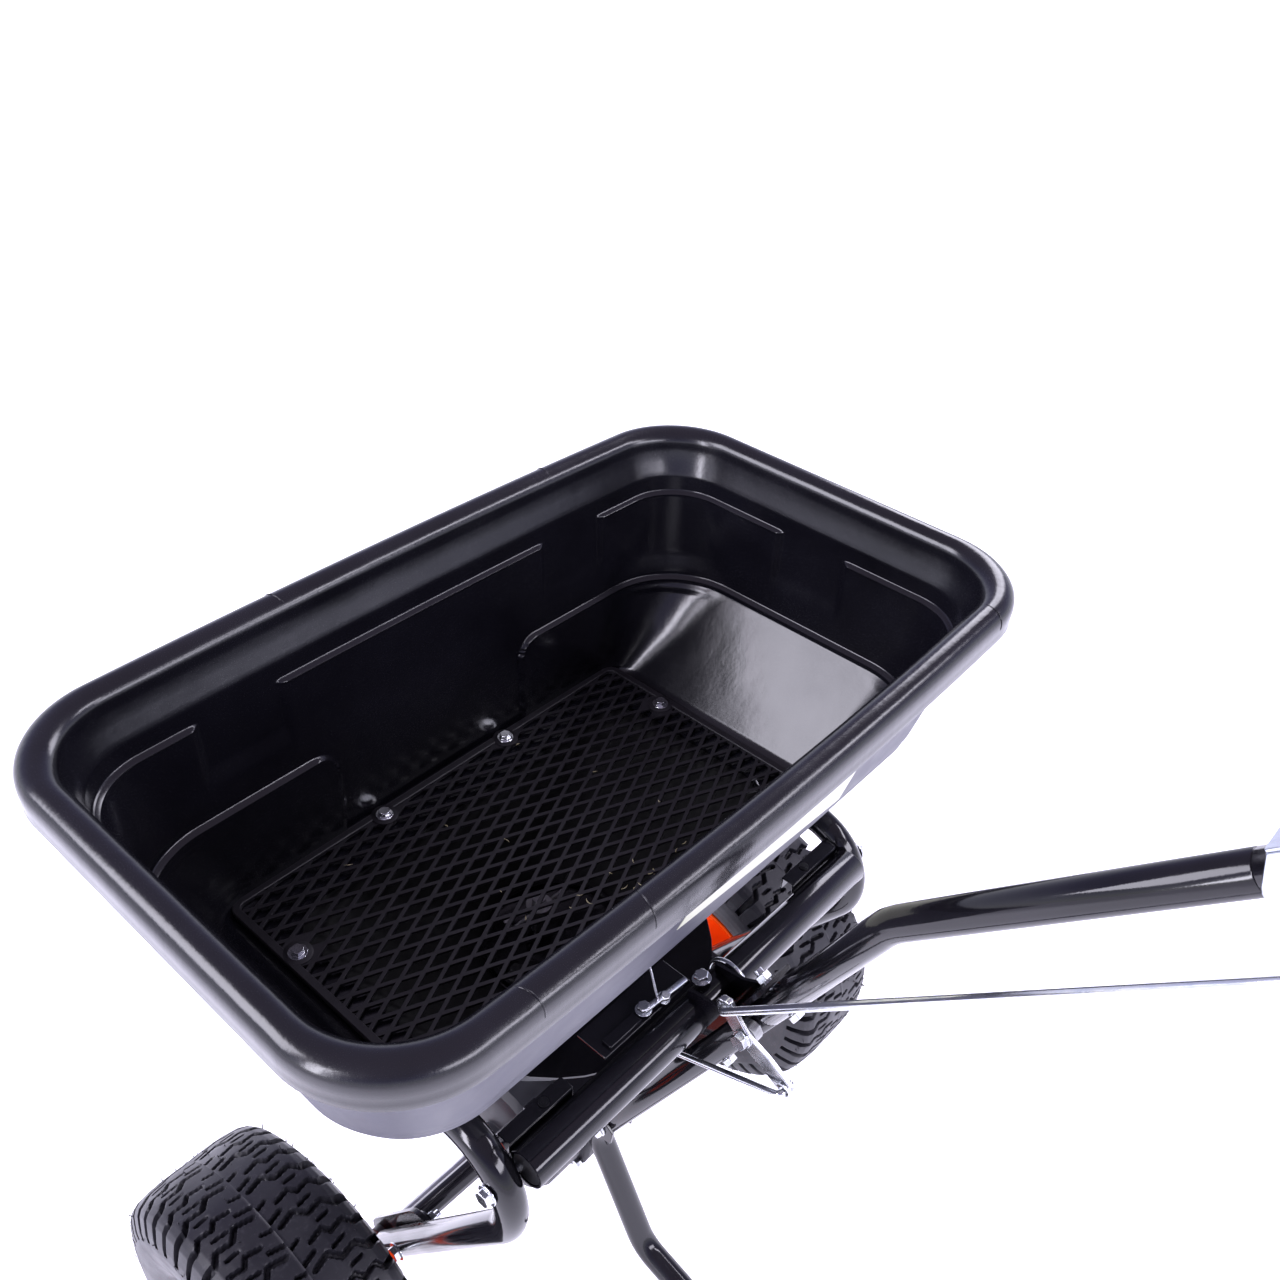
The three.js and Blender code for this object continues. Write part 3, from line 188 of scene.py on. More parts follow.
PLASTIC = hopper_plastic()
PAINT = gloss_paint("black_paint", (0.0035, 0.0032, 0.0045), (0.007, 0.0065, 0.009))
ORANGE = gloss_paint("orange_paint", (0.78, 0.062, 0.002), (0.9, 0.1, 0.004), (0.16, 0.26))
ZINC = zinc_plate("zinc", (0.58, 0.61, 0.67), (0.74, 0.74, 0.73))
# A darker, bluer copy of the zinc for the lever saddle: painted shade, tinted with the floor's bluish
# reflection.
SADDLE_ZINC_PAINTED_SHADE = zinc_plate("saddle_zinc_painted_shade", (0.42, 0.45, 0.53), (0.5, 0.53, 0.6))
STEEL = plain_steel()
TYRE = rubber("tyre_rubber", (0.011, 0.0105, 0.0145), (0.05, 0.048, 0.056), (0.34, 0.55))
GRIP = rubber("grip_rubber", (0.012, 0.012, 0.013), (0.03, 0.03, 0.03))
NYLON = matte_plastic("nylon", (0.014, 0.014, 0.018), (0.024, 0.024, 0.03))
SCREEN = matte_plastic("screen_plastic", (0.0075, 0.0065, 0.009), (0.014, 0.0125, 0.0165), (0.42, 0.6))
LABEL = matte_plastic("label_stock", (0.56, 0.57, 0.44), (0.63, 0.63, 0.5), (0.3, 0.4))
# A darker, matte copy of the black plastic for the chute: painted shade for the dark under the screen.
FUNNEL_PAINTED_SHADE = matte_plastic("funnel_painted_shade", (0.002, 0.002, 0.002), (0.004, 0.004, 0.004), (0.7, 0.9))
PLUG = matte_plastic("plug_plastic", (0.004, 0.004, 0.005), (0.007, 0.007, 0.008), (0.3, 0.45))
# The skirt's lighter, bluish copy of the black hopper plastic is painted light: the glow the bright floor
# throws on it.
SKIRT_PAINTED_FLOOR_LIGHT = matte_plastic("skirt_painted_floor_light", (0.044, 0.044, 0.061), (0.06, 0.06, 0.082), (0.4, 0.52))
STRAW = matte_plastic("dry_grass", (0.42, 0.37, 0.2), (0.62, 0.56, 0.36), (0.6, 0.8))

# ------------------------------------------------------------------ mesh helpers


def place(points):
    """Part millimetres (hopper centre at y = 0) to scene metres."""
    array = np.asarray(points, float).reshape(-1, 3) * 0.001
    array[:, 1] += HOPPER_Y * 0.001
    return array


def piece(name, points, faces, mat, body, replaces=(), smooth=38, bevel=None, slot=None):
    mesh = bpy.data.meshes.new(name)
    mesh.from_pydata(place(points).tolist(), [], [list(f) for f in faces])
    mesh.validate()
    work = bmesh.new()
    work.from_mesh(mesh)
    bmesh.ops.recalc_face_normals(work, faces=work.faces)
    work.to_mesh(mesh)
    work.free()
    return dress(name, mesh, mat, body, replaces, smooth, bevel)


def dress(name, mesh, mat, body, replaces=(), smooth=38, bevel=None):
    obj = bpy.data.objects.new(name, mesh)
    bpy.context.scene.collection.objects.link(obj)
    mesh.materials.clear()
    mesh.materials.append(mat)
    mesh.polygons.foreach_set("use_smooth", [True] * len(mesh.polygons))
    mesh.set_sharp_from_angle(angle=math.radians(smooth))
    if bevel:
        modifier = obj.modifiers.new("bevel", "BEVEL")
        modifier.width = bevel * 0.001
        modifier.segments = 2
        modifier.limit_method = "ANGLE"
        modifier.angle_limit = math.radians(32)
        modifier.harden_normals = False
    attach(obj, body)
    if replaces:
        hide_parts(*([replaces] if isinstance(replaces, str) else replaces))
    return obj


def refined(node, mat, body, bevel=0.5):
    """A CAD node's shape with its flat faces merged and its edges eased."""
    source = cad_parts[node]
    mesh = source.data.copy()
    mesh.transform(source.matrix_world)
    work = bmesh.new()
    work.from_mesh(mesh)
    bmesh.ops.remove_doubles(work, verts=work.verts, dist=2e-6)
    bmesh.ops.dissolve_limit(work, angle_limit=math.radians(1.0), verts=work.verts, edges=work.edges)
    work.to_mesh(mesh)
    work.free()
    return dress(f"{node}_v", mesh, mat, body, node, 35, bevel)


def loft(rings, close=True):
    """Quads between rings of equal count; closed back to the first ring, or left open."""
    count = len(rings[0])
    points = np.concatenate([np.asarray(r, float) for r in rings])
    faces = []
    last = len(rings) if close else len(rings) - 1
    for k in range(last):
        a = k * count
        b = ((k + 1) % len(rings)) * count
        for i in range(count):
            j = (i + 1) % count
            faces.append((a + i, a + j, b + j, b + i))
    return points, faces


def capped(rings):
    points, faces = loft(rings, close=False)
    count = len(rings[0])
    faces.append(tuple(range(count))[::-1])
    faces.append(tuple(range(len(points) - count, len(points))))
    return points, faces


def joined(*parts):
    points = []
    faces = []
    for pts, fcs in parts:
        shift = len(points)
        points.extend(np.asarray(pts, float).tolist())
        faces.extend(tuple(i + shift for i in f) for f in fcs)
    return np.array(points), faces


BEND_STEP = 7.0  # degrees between the rings round a bend


def bent(corners):
    """Stations (point, tangent) along straight runs and round bends."""
    pts = [np.array(c[:3], float) for c in corners]
    stations = []
    for i, corner in enumerate(corners):
        radius = corner[3] if len(corner) > 3 else 0
        if not radius:
            other = pts[1] - pts[0] if i == 0 else pts[i] - pts[i - 1]
            stations.append((pts[i], other / np.linalg.norm(other)))
            continue
        before = pts[i] - pts[i - 1]
        before /= np.linalg.norm(before)
        after = pts[i + 1] - pts[i]
        after /= np.linalg.norm(after)
        turn = math.acos(max(-1, min(1, float(before @ after))))
        axis = np.cross(before, after)
        axis /= np.linalg.norm(axis)
        start = pts[i] - before * radius * math.tan(turn / 2)
        centre = start + np.cross(axis, before) * radius
        steps = max(3, int(math.degrees(turn) / BEND_STEP))
        for s in range(steps + 1):
            spin = np.array(Matrix.Rotation(turn * s / steps, 3, Vector(axis)))
            stations.append((centre + spin @ (start - centre), spin @ before))
    return stations


def rings_along(stations, section, sides=26):
    """Rings round a path without twist; section(i) gives the radius at each station."""
    tangent = stations[0][1]
    across = np.cross(tangent, [0.13, 0.21, 0.97] if abs(tangent[2]) < 0.9 else [1, 0, 0])
    across /= np.linalg.norm(across)
    rings = []
    for i, (point, tangent) in enumerate(stations):
        across = across - tangent * (across @ tangent)
        across /= np.linalg.norm(across)
        other = np.cross(tangent, across)
        radius = section(i)
        angles = np.linspace(0, 2 * math.pi, sides, endpoint=False)
        rings.append(point + radius * (np.cos(angles)[:, None] * across + np.sin(angles)[:, None] * other))
    return rings


def tube(name, corners, radius, mat, body, replaces=(), wall=1.6, sides=28, ease=0.5):
    stations = bent(corners)
    first, last = stations[0], stations[-1]
    stations = [first, (first[0] + first[1] * ease, first[1])] + stations[1:-1]
    stations += [(last[0] - last[1] * ease, last[1]), last]
    end = len(stations) - 1
    outer = rings_along(stations, lambda i: radius - ease * 0.6 if i in (0, end) else radius, sides)
    if not wall:
        return piece(name, *capped(outer), mat, body, replaces, 50)
    inner = rings_along(stations, lambda i: radius - wall, sides)
    return piece(name, *loft(outer + inner[::-1]), mat, body, replaces, 50)


def lathe(profile, centre, axis="x", segments=64):
    """Rings from (along, radius) pairs about a line through centre."""
    angles = np.linspace(0, 2 * math.pi, segments, endpoint=False)
    rings = []
    for along, radius in profile:
        c, s = radius * np.cos(angles), radius * np.sin(angles)
        a = np.full(segments, float(along))
        ring = {"x": (a, c, s), "y": (s, a, c), "z": (c, s, a)}[axis]
        rings.append(np.stack(ring, 1) + np.asarray(centre, float))
    return loft(rings)


def smoothstep(value):
    t = np.clip(value, 0, 1)
    return t * t * (3 - 2 * t)


# ------------------------------------------------------------------ hopper

HALF_X, HALF_Y = 352.0, 206.5
CORNERS = ((1, 1), (-1, 1), (-1, -1), (1, -1))  # the signs of a rectangle's corners, in order
SKIRT_FOOT, SKIRT_RISE, UNDERSIDE = 634.0, 118.0, 537.0
PER_CORNER, LONG_SIDE, SHORT_SIDE = 26, 190, 88  # points round a corner and along the sides


def perimeter(z, inset_x, inset_y, corner, bow, rear=None):
    """One level of the hopper; the long sides swell by bow, and the rear half can be drawn in."""
    half_x, half_y = HALF_X - inset_x, HALF_Y - inset_y
    points = []
    for i, (sx, sy) in enumerate(CORNERS):
        centre = np.array([sx * (half_x - corner), sy * (half_y - corner)])
        angles = math.pi / 2 * (i + np.linspace(0, 1, PER_CORNER))
        arc = centre + corner * np.stack([np.cos(angles), np.sin(angles)], 1)
        points.extend(arc)
        nx, ny = CORNERS[(i + 1) % 4]
        a = math.pi / 2 * (i + 1)
        next_centre = np.array([nx * (half_x - corner), ny * (half_y - corner)])
        start = next_centre + corner * np.array([math.cos(a), math.sin(a)])
        count = LONG_SIDE if i % 2 == 0 else SHORT_SIDE
        for s in range(1, count):
            points.append(arc[-1] + (start - arc[-1]) * s / count)
    points = np.array(points)
    points[:, 1] += bow * (1 - (points[:, 0] / half_x) ** 2) * np.sign(points[:, 1])
    if rear:
        points[:, 1] *= np.where(points[:, 1] < 0, rear / half_y, 1.0)
    return np.column_stack([points, np.full(len(points), float(z))])


def inward(ring):
    """Unit normals of a ring, pointing into the hopper."""
    tangent = np.roll(ring, -1, 0)[:, :2] - np.roll(ring, 1, 0)[:, :2]
    length = np.maximum(np.linalg.norm(tangent, axis=1), 1e-9)
    tangent /= length[:, None]
    return np.column_stack([-tangent[:, 1], tangent[:, 0], np.zeros(len(ring))])


LEDGE_1, LEDGE_2, POCKET_FOOT = 724.0, 637.0, 678.0  # heights of the ledges and of the pockets' feet
PROUD_1, PROUD_2, LEDGE_RUN = 3.6, 4.2, 2.8  # how far the ledges stand out, and their run-out
BEAD_1, BEAD_2, BEAD_DROP, BEAD_WIDTH = 0.8, 0.9, 2.2, 1.3  # the bead along each ledge
POCKET_START, POCKET_END, END_POCKET_HALF, POCKET_BLEND, POCKET_RUN = 137, 211, 33, 7, 25
BREAK_HALF, BREAK_TURN, NO_LEDGE = 104.0, 22, 300.0  # the lower ledge's break in the front wall
LONG_WALL_Y, SHORT_WALL_X, CORNER_X = 120, 250, 280
WALL_TOP, FOLD, FLOOR_FALL = 739, 630, 89  # the inner wall's top, its fold and the slope's height


def ledges(ring):
    """The lower ledge's height, and how far the upper one is broken by a pocket, at each point of a ring."""
    x, y = np.abs(ring[:, 0]), np.abs(ring[:, 1])
    on_long = y > LONG_WALL_Y
    entering = smoothstep((x - POCKET_START) / POCKET_BLEND)
    leaving = smoothstep((x - POCKET_END) / POCKET_BLEND)
    long_pocket = entering * (1 - leaving) * on_long
    short_pocket = (1 - smoothstep((y - END_POCKET_HALF) / POCKET_BLEND)) * (x > SHORT_WALL_X)
    pocket = np.maximum(long_pocket, short_pocket)
    broken = on_long & (x < CORNER_X) & (ring[:, 1] > 0)
    reach = np.where(broken, x - BREAK_HALF, 60.0)
    turn = np.clip(1 - reach / BREAK_TURN, 0, 1)
    second = np.where(reach > 0, LEDGE_2 - BREAK_TURN * (1 - np.sqrt(1 - turn**2)), NO_LEDGE)
    return second, pocket


def bead(below):
    return np.exp(-(((below - BEAD_DROP) / BEAD_WIDTH) ** 2))


def inner_ring(z):
    """One level of the inner wall: upright with ledges above the fold, sloping in below it."""
    t = (WALL_TOP - z) / (WALL_TOP - FOLD)
    if z >= FOLD:
        inset_x, inset_y = 34 + 1.5 * t, 34.5 + 3.0 * t
        rear = HALF_Y - inset_y - 5 * min(1, max(0, (675 - z) / 38))
    else:
        fall = (FOLD - z) / FLOOR_FALL
        inset_x, inset_y = 35.5 + 75 * fall, 37.5 + 0.6 * fall
        rear = 164 - 68 * fall
    corner = np.interp(z, [543.5, 590, 620, 626, 642, 660, 739], [35, 65, 76, 84, 84, 69, 54])
    bow = 6 - 4.5 * min(1, (WALL_TOP - z) / 180)
    ring = perimeter(z, inset_x, inset_y, corner, bow, rear)
    second, pocket = ledges(ring)
    below_1, below_2 = LEDGE_1 - z, second - z
    proud = PROUD_1 * (1 - pocket) * smoothstep(below_1 / LEDGE_RUN + 0.2)
    proud += PROUD_1 * pocket * smoothstep((POCKET_FOOT - z) / POCKET_RUN + 0.2)
    proud += PROUD_2 * smoothstep(below_2 / LEDGE_RUN + 0.2)
    proud += BEAD_1 * (1 - pocket) * bead(below_1)
    proud += BEAD_2 * bead(below_2)
    return ring + inward(ring) * proud[:, None]


ROLL_R, ROLL_LIFT, ROLL_Z, ROLL_BOW, ROLL_CORNER = 12.5, 13.5, 765.5, 8.4, 79  # the rolled rim
LIP_Z, LIP_R = 752.2, 2.6  # the small round under it


def skirt_level(z):
    """The skirt at one height: share of its rise, rear wall, inset of the ends, bow."""
    t = (z - SKIRT_FOOT) / SKIRT_RISE
    return t, HALF_Y - (44 - 22.4 * t), 39 - 16 * t, 2.5 + 4.5 * t


def hopper():
    """Outer floor and skirt, the rolled rim, then the inner wall down to the screen's seat."""
    p = perimeter  # each level: height, insets in x and y, corner radius, bow, rear half
    rings = [
        p(536.9, 152, 84, 38, 0, 70),
        p(536.9, 118, 44, 30, 1, 97),
        p(538.0, 114, 39.5, 32, 1, 101),
        p(542.0, 111, 38.5, 34, 1, 104),
        p(590, 74.5, 38.3, 56, 1.5, 137),
        p(620, 48.8, 38.2, 71, 2, 157),
        p(626, 44, 38.0, 76, 2, 160),
        p(629.2, 41.5, 37.6, 78, 2, 160.5),
        p(632.5, 40.2, 37.2, 78, 2.2, 161.5),
    ]
    for z in np.linspace(636, 748, 14):
        t, rear, inset_x, bow = skirt_level(z)
        rings.append(p(z, inset_x, 37.2 - 15.6 * t, 78 - 16 * min(1, 1.6 * t), bow, rear))
    under = [(752, 22, 21, 62, 7), (753, 17, 16.5, 66, 8), (751.5, 9, 9, 73, 8.2), (749.6, 4.5, 4.5, 76, 8.4)]
    rings += [p(*row) for row in under]
    for degrees in range(-90, -9, 20):
        a = math.radians(degrees)
        reach = 2.9 - LIP_R * math.cos(a)
        rings.append(p(LIP_Z + LIP_R * math.sin(a), reach, reach, 78, ROLL_BOW))
    rings += [p(756, 0.5, 0.5, 79, 8.4), p(762, 0.1, 0.1, 79, 8.4)]
    for degrees in range(0, 181, 12):
        a = math.radians(degrees)
        reach = ROLL_R * (1 - math.cos(a))
        lift = ROLL_LIFT * math.sin(a) ** 0.85 if 0 < degrees < 180 else 0
        corner = ROLL_CORNER - reach * 0.68
        rings.append(p(ROLL_Z + lift, reach, reach, corner, ROLL_BOW - reach * 0.03))
    rings += [p(761, 26, 26, 60.5, 7.6), p(752, 29, 29.4, 58, 7), p(744, 32, 32.6, 55.5, 6.4)]
    rings += [p(740.5, 33.4, 34, 54.5, 6.1)]
    upper = ((738.5, 714, 0.8), (713, 682, 3.5), (681, 668, 1.1))
    lower = ((666, 643, 3.5), (641, 606, 0.9), (605, 550, 6.0))
    for top, foot, step in upper + lower:
        rings += [inner_ring(z) for z in np.arange(top, foot, -step)]
    rings += [inner_ring(546.5), inner_ring(543.5)]
    rings += [p(541.8, 122, 46, 26, 1, 93), p(541.4, 130, 56, 26, 0.5, 90), p(541.2, 152, 84, 38, 0, 66)]
    return loft(rings)


hopper_body = piece("hopper_body", *hopper(), PLASTIC, "frame", "hopper", 60)
# The outward faces of the skirt get the copy with the painted floor light.
hopper_body.data.materials.append(SKIRT_PAINTED_FLOOR_LIGHT)
for polygon in hopper_body.data.polygons:
    x, y, z = (value * 1000 for value in polygon.center)
    outward = polygon.normal.x * x + polygon.normal.y * (y - HOPPER_Y) > 0
    if outward and UNDERSIDE < z < SKIRT_FOOT + SKIRT_RISE:
        polygon.material_index = 1


def funnel():
    """A chute from the hopper's floor down to the shut-off, oblong above and nearly round below."""
    def level(z, half_x, half_y, corner, centre_y):
        points = []
        for i, (sx, sy) in enumerate(CORNERS):
            angles = math.pi / 2 * (i + np.linspace(0, 1, 14))
            centre = np.array([sx * (half_x - corner), sy * (half_y - corner) + centre_y])
            points.extend(centre + corner * np.stack([np.cos(angles), np.sin(angles)], 1))
        return np.column_stack([np.array(points), np.full(len(points), float(z))])

    def wall(rise, inset):
        levels = []
        for t in np.linspace(0, 1, 13):
            ease = t**1.05
            half_x, half_y = 72 - inset + 126 * ease, 72 - inset + 24 * ease
            levels.append(level(436 + rise * t, half_x, half_y, 71.5 - inset - 30 * t, 12 + 16 * t))
        return levels

    flange = [level(536.6, 201, 98, 42, 28), level(537.2, 201, 98, 42, 28)]
    return loft(wall(101, 0) + flange + wall(101.6, 4)[::-1])


# The chute takes the darker copy, painted shade under the screen.
piece("hopper_funnel", *funnel(), FUNNEL_PAINTED_SHADE, "frame", smooth=60)


def rim_seam(name, x0, side, lean):
    """A fine mould seam across the rolled rim."""
    points = []
    for degrees in range(-20, 171, 10):
        a = math.radians(degrees)
        reach = ROLL_R * (1 - math.cos(a))
        lift = ROLL_LIFT * max(0, math.sin(a)) ** 0.85
        y = side * (HALF_Y + ROLL_BOW * (1 - (x0 / HALF_X) ** 2) - reach)
        points.append((x0 + lean * (degrees / 170) ** 2, y, ROLL_Z + lift + min(0, math.sin(a)) * 8))
    stations = []
    for i, pt in enumerate(points):
        a = np.array(points[max(0, i - 1)])
        b = np.array(points[min(len(points) - 1, i + 1)])
        stations.append((np.array(pt), (b - a) / np.linalg.norm(b - a)))
    piece(name, *capped(rings_along(stations, lambda i: 0.55, 6)), PLASTIC, "frame", smooth=60)


SEAMS = ((-236, -1, -8), (-148, -1, 8), (268, -1, 6), (-120, 1, 6), (170, 1, -6))
for index, (x0, side, lean) in enumerate(SEAMS):
    rim_seam(f"rim_seam_{index + 1}", x0, side, lean)


def label():
    """A blank pale label on the rear skirt."""
    rows = []
    count = 40
    for share in (1, 0.75, 0.5, 0.25, 0):
        xs = np.linspace(-70 + 30 * share, 140 + 20 * share, count)
        low = 661 - 0.115 * (xs + 66)
        z = low + (735 - low) * share
        _, rear, inset_x, swell = skirt_level(z)
        bow = swell * (1 - (xs / (HALF_X - inset_x)) ** 2)
        rows.append(np.column_stack([xs, -rear - bow - 0.25, z]))
    front = np.concatenate(rows)
    back = front + np.array([0, 0.5, 0])
    faces = []
    total = len(front)
    for r in range(len(rows) - 1):
        for i in range(count - 1):
            a = r * count + i
            faces.append((a, a + 1, a + count + 1, a + count))
            faces.append((a + total, a + count + total, a + count + 1 + total, a + 1 + total))
    edge = [i for i in range(count)] + [r * count + count - 1 for r in range(1, len(rows))]
    edge += [(len(rows) - 1) * count + i for i in range(count - 2, -1, -1)]
    edge += [r * count for r in range(len(rows) - 2, 0, -1)]
    for i, a in enumerate(edge):
        b = edge[(i + 1) % len(edge)]
        faces.append((b, a, a + total, b + total))
    return np.concatenate([front, back]), faces


piece("blank_label", *label(), LABEL, "frame", smooth=60)

# ------------------------------------------------------------------ screen

PITCH_X, PITCH_Y, STRAND = 35.0, 15.25, 3.3
SCREEN_BOLTS = [(-214, 83), (214, 83), (-72, 154), (72, 154)]


def screen():
    """A plate of diamond openings, solid round its bolts, with its corners cut off."""
    half_x, half_y, rear_y, z, thick = 226.0, 162.0, -91.0, 543.8, 2.6
    slope = math.hypot(PITCH_X, PITCH_Y)
    shrink = 1 - STRAND * slope / (PITCH_X * PITCH_Y)
    work = bmesh.new()
    cols = int(half_x / PITCH_X * 2) + 3
    rows = int(half_y / PITCH_Y * 2) + 3
    for row in range(-rows, rows + 1):
        for col in range(-cols, cols + 1):
            if (row + col) % 2:
                continue
            cx, cy = col * PITCH_X / 2, row * PITCH_Y / 2
            solid_cell = any((cx - bx) ** 2 / 1.6 + (cy - by) ** 2 < 15**2 for bx, by in SCREEN_BOLTS)
            reach_x, reach_y = PITCH_X / 2, PITCH_Y / 2
            outer = [(cx + reach_x, cy), (cx, cy + reach_y), (cx - reach_x, cy), (cx, cy - reach_y)]
            outside = [work.verts.new((*p, 0)) for p in outer]
            if solid_cell:
                work.faces.new(outside)
                continue
            inner = [(cx + (px - cx) * shrink, cy + (py - cy) * shrink) for px, py in outer]
            inside = [work.verts.new((*p, 0)) for p in inner]
            for i in range(4):
                j = (i + 1) % 4
                work.faces.new([outside[i], outside[j], inside[j], inside[i]])
    bmesh.ops.remove_doubles(work, verts=work.verts, dist=1e-3)
    planes = [((half_x, 0), (1, 0)), ((-half_x, 0), (-1, 0))]
    planes += [((0, half_y), (0, 1)), ((0, rear_y), (0, -1))]
    for sx in (-1, 1):
        for sy, edge in ((-1, rear_y), (1, half_y)):
            planes.append(((sx * (half_x - 9), edge - sy * 9), (sx * 0.7071, sy * 0.7071)))
    for (px, py), (nx, ny) in planes:
        geom = list(work.verts) + list(work.edges) + list(work.faces)
        at, normal = (px, py, 0), (nx, ny, 0)
        bmesh.ops.bisect_plane(work, geom=geom, plane_co=at, plane_no=normal, clear_outer=True)
    top = bmesh.ops.extrude_face_region(work, geom=list(work.faces))
    moved = [g for g in top["geom"] if isinstance(g, bmesh.types.BMVert)]
    bmesh.ops.translate(work, verts=moved, vec=(0, 0, thick))
    bmesh.ops.translate(work, verts=work.verts, vec=(0, HOPPER_Y, z))
    bmesh.ops.scale(work, verts=work.verts, vec=(0.001, 0.001, 0.001))
    bmesh.ops.recalc_face_normals(work, faces=work.faces)
    mesh = bpy.data.meshes.new("screen_mesh")
    work.to_mesh(mesh)
    work.free()
    return dress("screen_mesh", mesh, SCREEN, "frame", "hopper_screen", 30, 0.35)


screen()


def screen_border():
    """A raised frame round the screen."""
    rings = []
    half_x, half_y, middle_y = 226.2, 127.0, 35.5
    for z, grow in [(543.4, 0), (547.0, 0), (547.6, -0.7), (547.6, -6.3), (547.0, -7), (543.4, -7)]:
        hx, hy, r = half_x + grow, half_y + grow, 13 + grow
        ring = []
        for i, (sx, sy) in enumerate(CORNERS):
            for a in math.pi / 2 * (i + np.linspace(0, 1, 6)):
                x, y = sx * (hx - r) + r * math.cos(a), sy * (hy - r) + r * math.sin(a)
                ring.append((x, middle_y + y, z))
        rings.append(ring)
    return loft(rings)


piece("screen_border", *screen_border(), SCREEN, "frame", smooth=40)

for index in range(4):
    refined(f"screen_bolt_{index + 1}", ZINC, "frame", 0.5)
PAD_PROFILE = ((542.6, 3.2), (542.6, 12), (547.2, 12), (547.9, 10.8), (547.9, 3.2))  # height, radius
for index, (bx, by) in enumerate(SCREEN_BOLTS):
    pad = lathe(PAD_PROFILE, (bx, by, 0), "z", 40)
    piece(f"screen_pad_{index + 1}", *pad, SCREEN, "frame", smooth=40)

GRASS_BITS, GRASS_Z = 22, 548.2


def chaff():
    """Loose bits of dry grass on the screen, nearly half of them near its rear edge."""
    parts = []
    for _ in range(GRASS_BITS):
        cx, cy = rng.uniform(-150, 205), rng.uniform(-70, 150)
        if rng.random() < 0.45:
            cx, cy = rng.gauss(30, 22), rng.gauss(-62, 16)
        length, heading = rng.uniform(2, 8), rng.uniform(0, math.pi)
        along = np.array([math.cos(heading), math.sin(heading), rng.uniform(-0.1, 0.1)])
        side = np.array([-math.sin(heading), math.cos(heading), 0])
        start = np.array([cx, cy, GRASS_Z])
        curl = rng.uniform(-0.25, 0.25) * length
        ring = []
        for t in np.linspace(0, 1, 6):
            centre = start + along * length * (t - 0.5) + side * curl * 4 * (t - 0.5) ** 2
            w = 0.5 * (1 - 0.7 * abs(2 * t - 1))
            rise = np.array([0, 0, w])
            ring.append([centre + side * w, centre + rise, centre - side * w, centre - rise * 0.4])
        parts.append(capped(ring))
    return joined(*parts)


piece("dry_grass", *chaff(), STRAW, "frame", smooth=60)

# ------------------------------------------------------------------ tube frame

TUBE_R, SIDE_X, TOP_ARM_Z, AXLE_Y, AXLE_Z = 12.7, 215.0, 524.0, 35.0, 168.0
ARM_FRONT_Y, SIDE_BEND = 144.0, 55.0
LEG_SLOPE = 1.486  # rise over run of the side tubes' slanting legs
REAR_CORNER_Y = AXLE_Y - (TOP_ARM_Z - AXLE_Z) / LEG_SLOPE
REACH = np.array([AXLE_Y - REAR_CORNER_Y, AXLE_Z - TOP_ARM_Z])
REACH = REACH / np.linalg.norm(REACH)
for side, name in ((-1, "left"), (1, "right")):
    x = side * SIDE_X
    route = [
        (x, ARM_FRONT_Y, TOP_ARM_Z),
        (x, REAR_CORNER_Y, TOP_ARM_Z, SIDE_BEND),
        (x, AXLE_Y - REACH[0] * 40, AXLE_Z - REACH[1] * 40),
    ]
    tube(f"{name}_side_tube_v", route, TUBE_R, PAINT, "frame", f"{name}_side_tube")
RAIL_Y, RAIL_HALF = ARM_FRONT_Y + 13.3, 217
rail = [(-RAIL_HALF, RAIL_Y, TOP_ARM_Z), (RAIL_HALF, RAIL_Y, TOP_ARM_Z)]
tube("front_rail_v", rail, TUBE_R, PAINT, "frame", "front_rail")
CROSS_Y, CROSS_Z, CROSS_R, CROSS_HALF = -157.0, 507.0, 15.9, 201.5
cross = [(-CROSS_HALF, CROSS_Y, CROSS_Z), (CROSS_HALF, CROSS_Y, CROSS_Z)]
tube("cross_tube_v", cross, CROSS_R, PAINT, "frame", "cross_tube", 2.0, 40)
PLUG_PROFILE = ((9, 13.6), (1.4, 13.6), (0.4, 13.0), (1.2, 8.0), (1.6, 0.2), (9, 0.2))  # depth, radius
for side, name in ((-1, "left"), (1, "right")):
    x = side * (CROSS_HALF - 0.2)
    profile = [(x - side * depth, radius) for depth, radius in PLUG_PROFILE]
    piece(f"cross_plug_{name}", *lathe(profile, (0, CROSS_Y, CROSS_Z), "x", 40), PLUG, "frame")

STAND = [(0, -352, 15.5), (0, -300, 15.5, 40), (0, -118, 72, 42), (0, -47, 203, 36), (0, -213.4, 546)]
HANDLE = [(0, -213.7, 546.7), (0, -291, 706.5, 70), (0, -470, 892.5)]
HANDLE_TOP = np.array([-640.0, 1069.2])
RUN = HANDLE_TOP - np.array(HANDLE[-1][1:3])
RUN = RUN / np.linalg.norm(RUN)
upper = HANDLE_TOP - RUN * (TUBE_R + 0.3)
tube("stand_tube_v", STAND, TUBE_R, PAINT, "frame", "stand_tube")
tube("handle_tube_v", HANDLE, TUBE_R, PAINT, "frame", "handle_tube")
start = np.array(HANDLE[-1][1:3]) + RUN * 0.3
tube("upper_handle_v", [(0, *start), (0, *upper)], TUBE_R, PAINT, "frame", "upper_handle")
SWEEP, KNEE, BAR_HALF = math.radians(22), 150.0, 285.0
tip_x = KNEE + (BAR_HALF - KNEE) * math.cos(SWEEP)
tip_y = HANDLE_TOP[0] - (BAR_HALF - KNEE) * math.sin(SWEEP)
tips = [(s * tip_x, tip_y, HANDLE_TOP[1]) for s in (-1, 1)]
crossbar = [tips[0], (-KNEE, *HANDLE_TOP, 60), (KNEE, *HANDLE_TOP, 60), tips[1]]
tube("handle_crossbar_v", crossbar, TUBE_R, PAINT, "frame", "handle_crossbar")

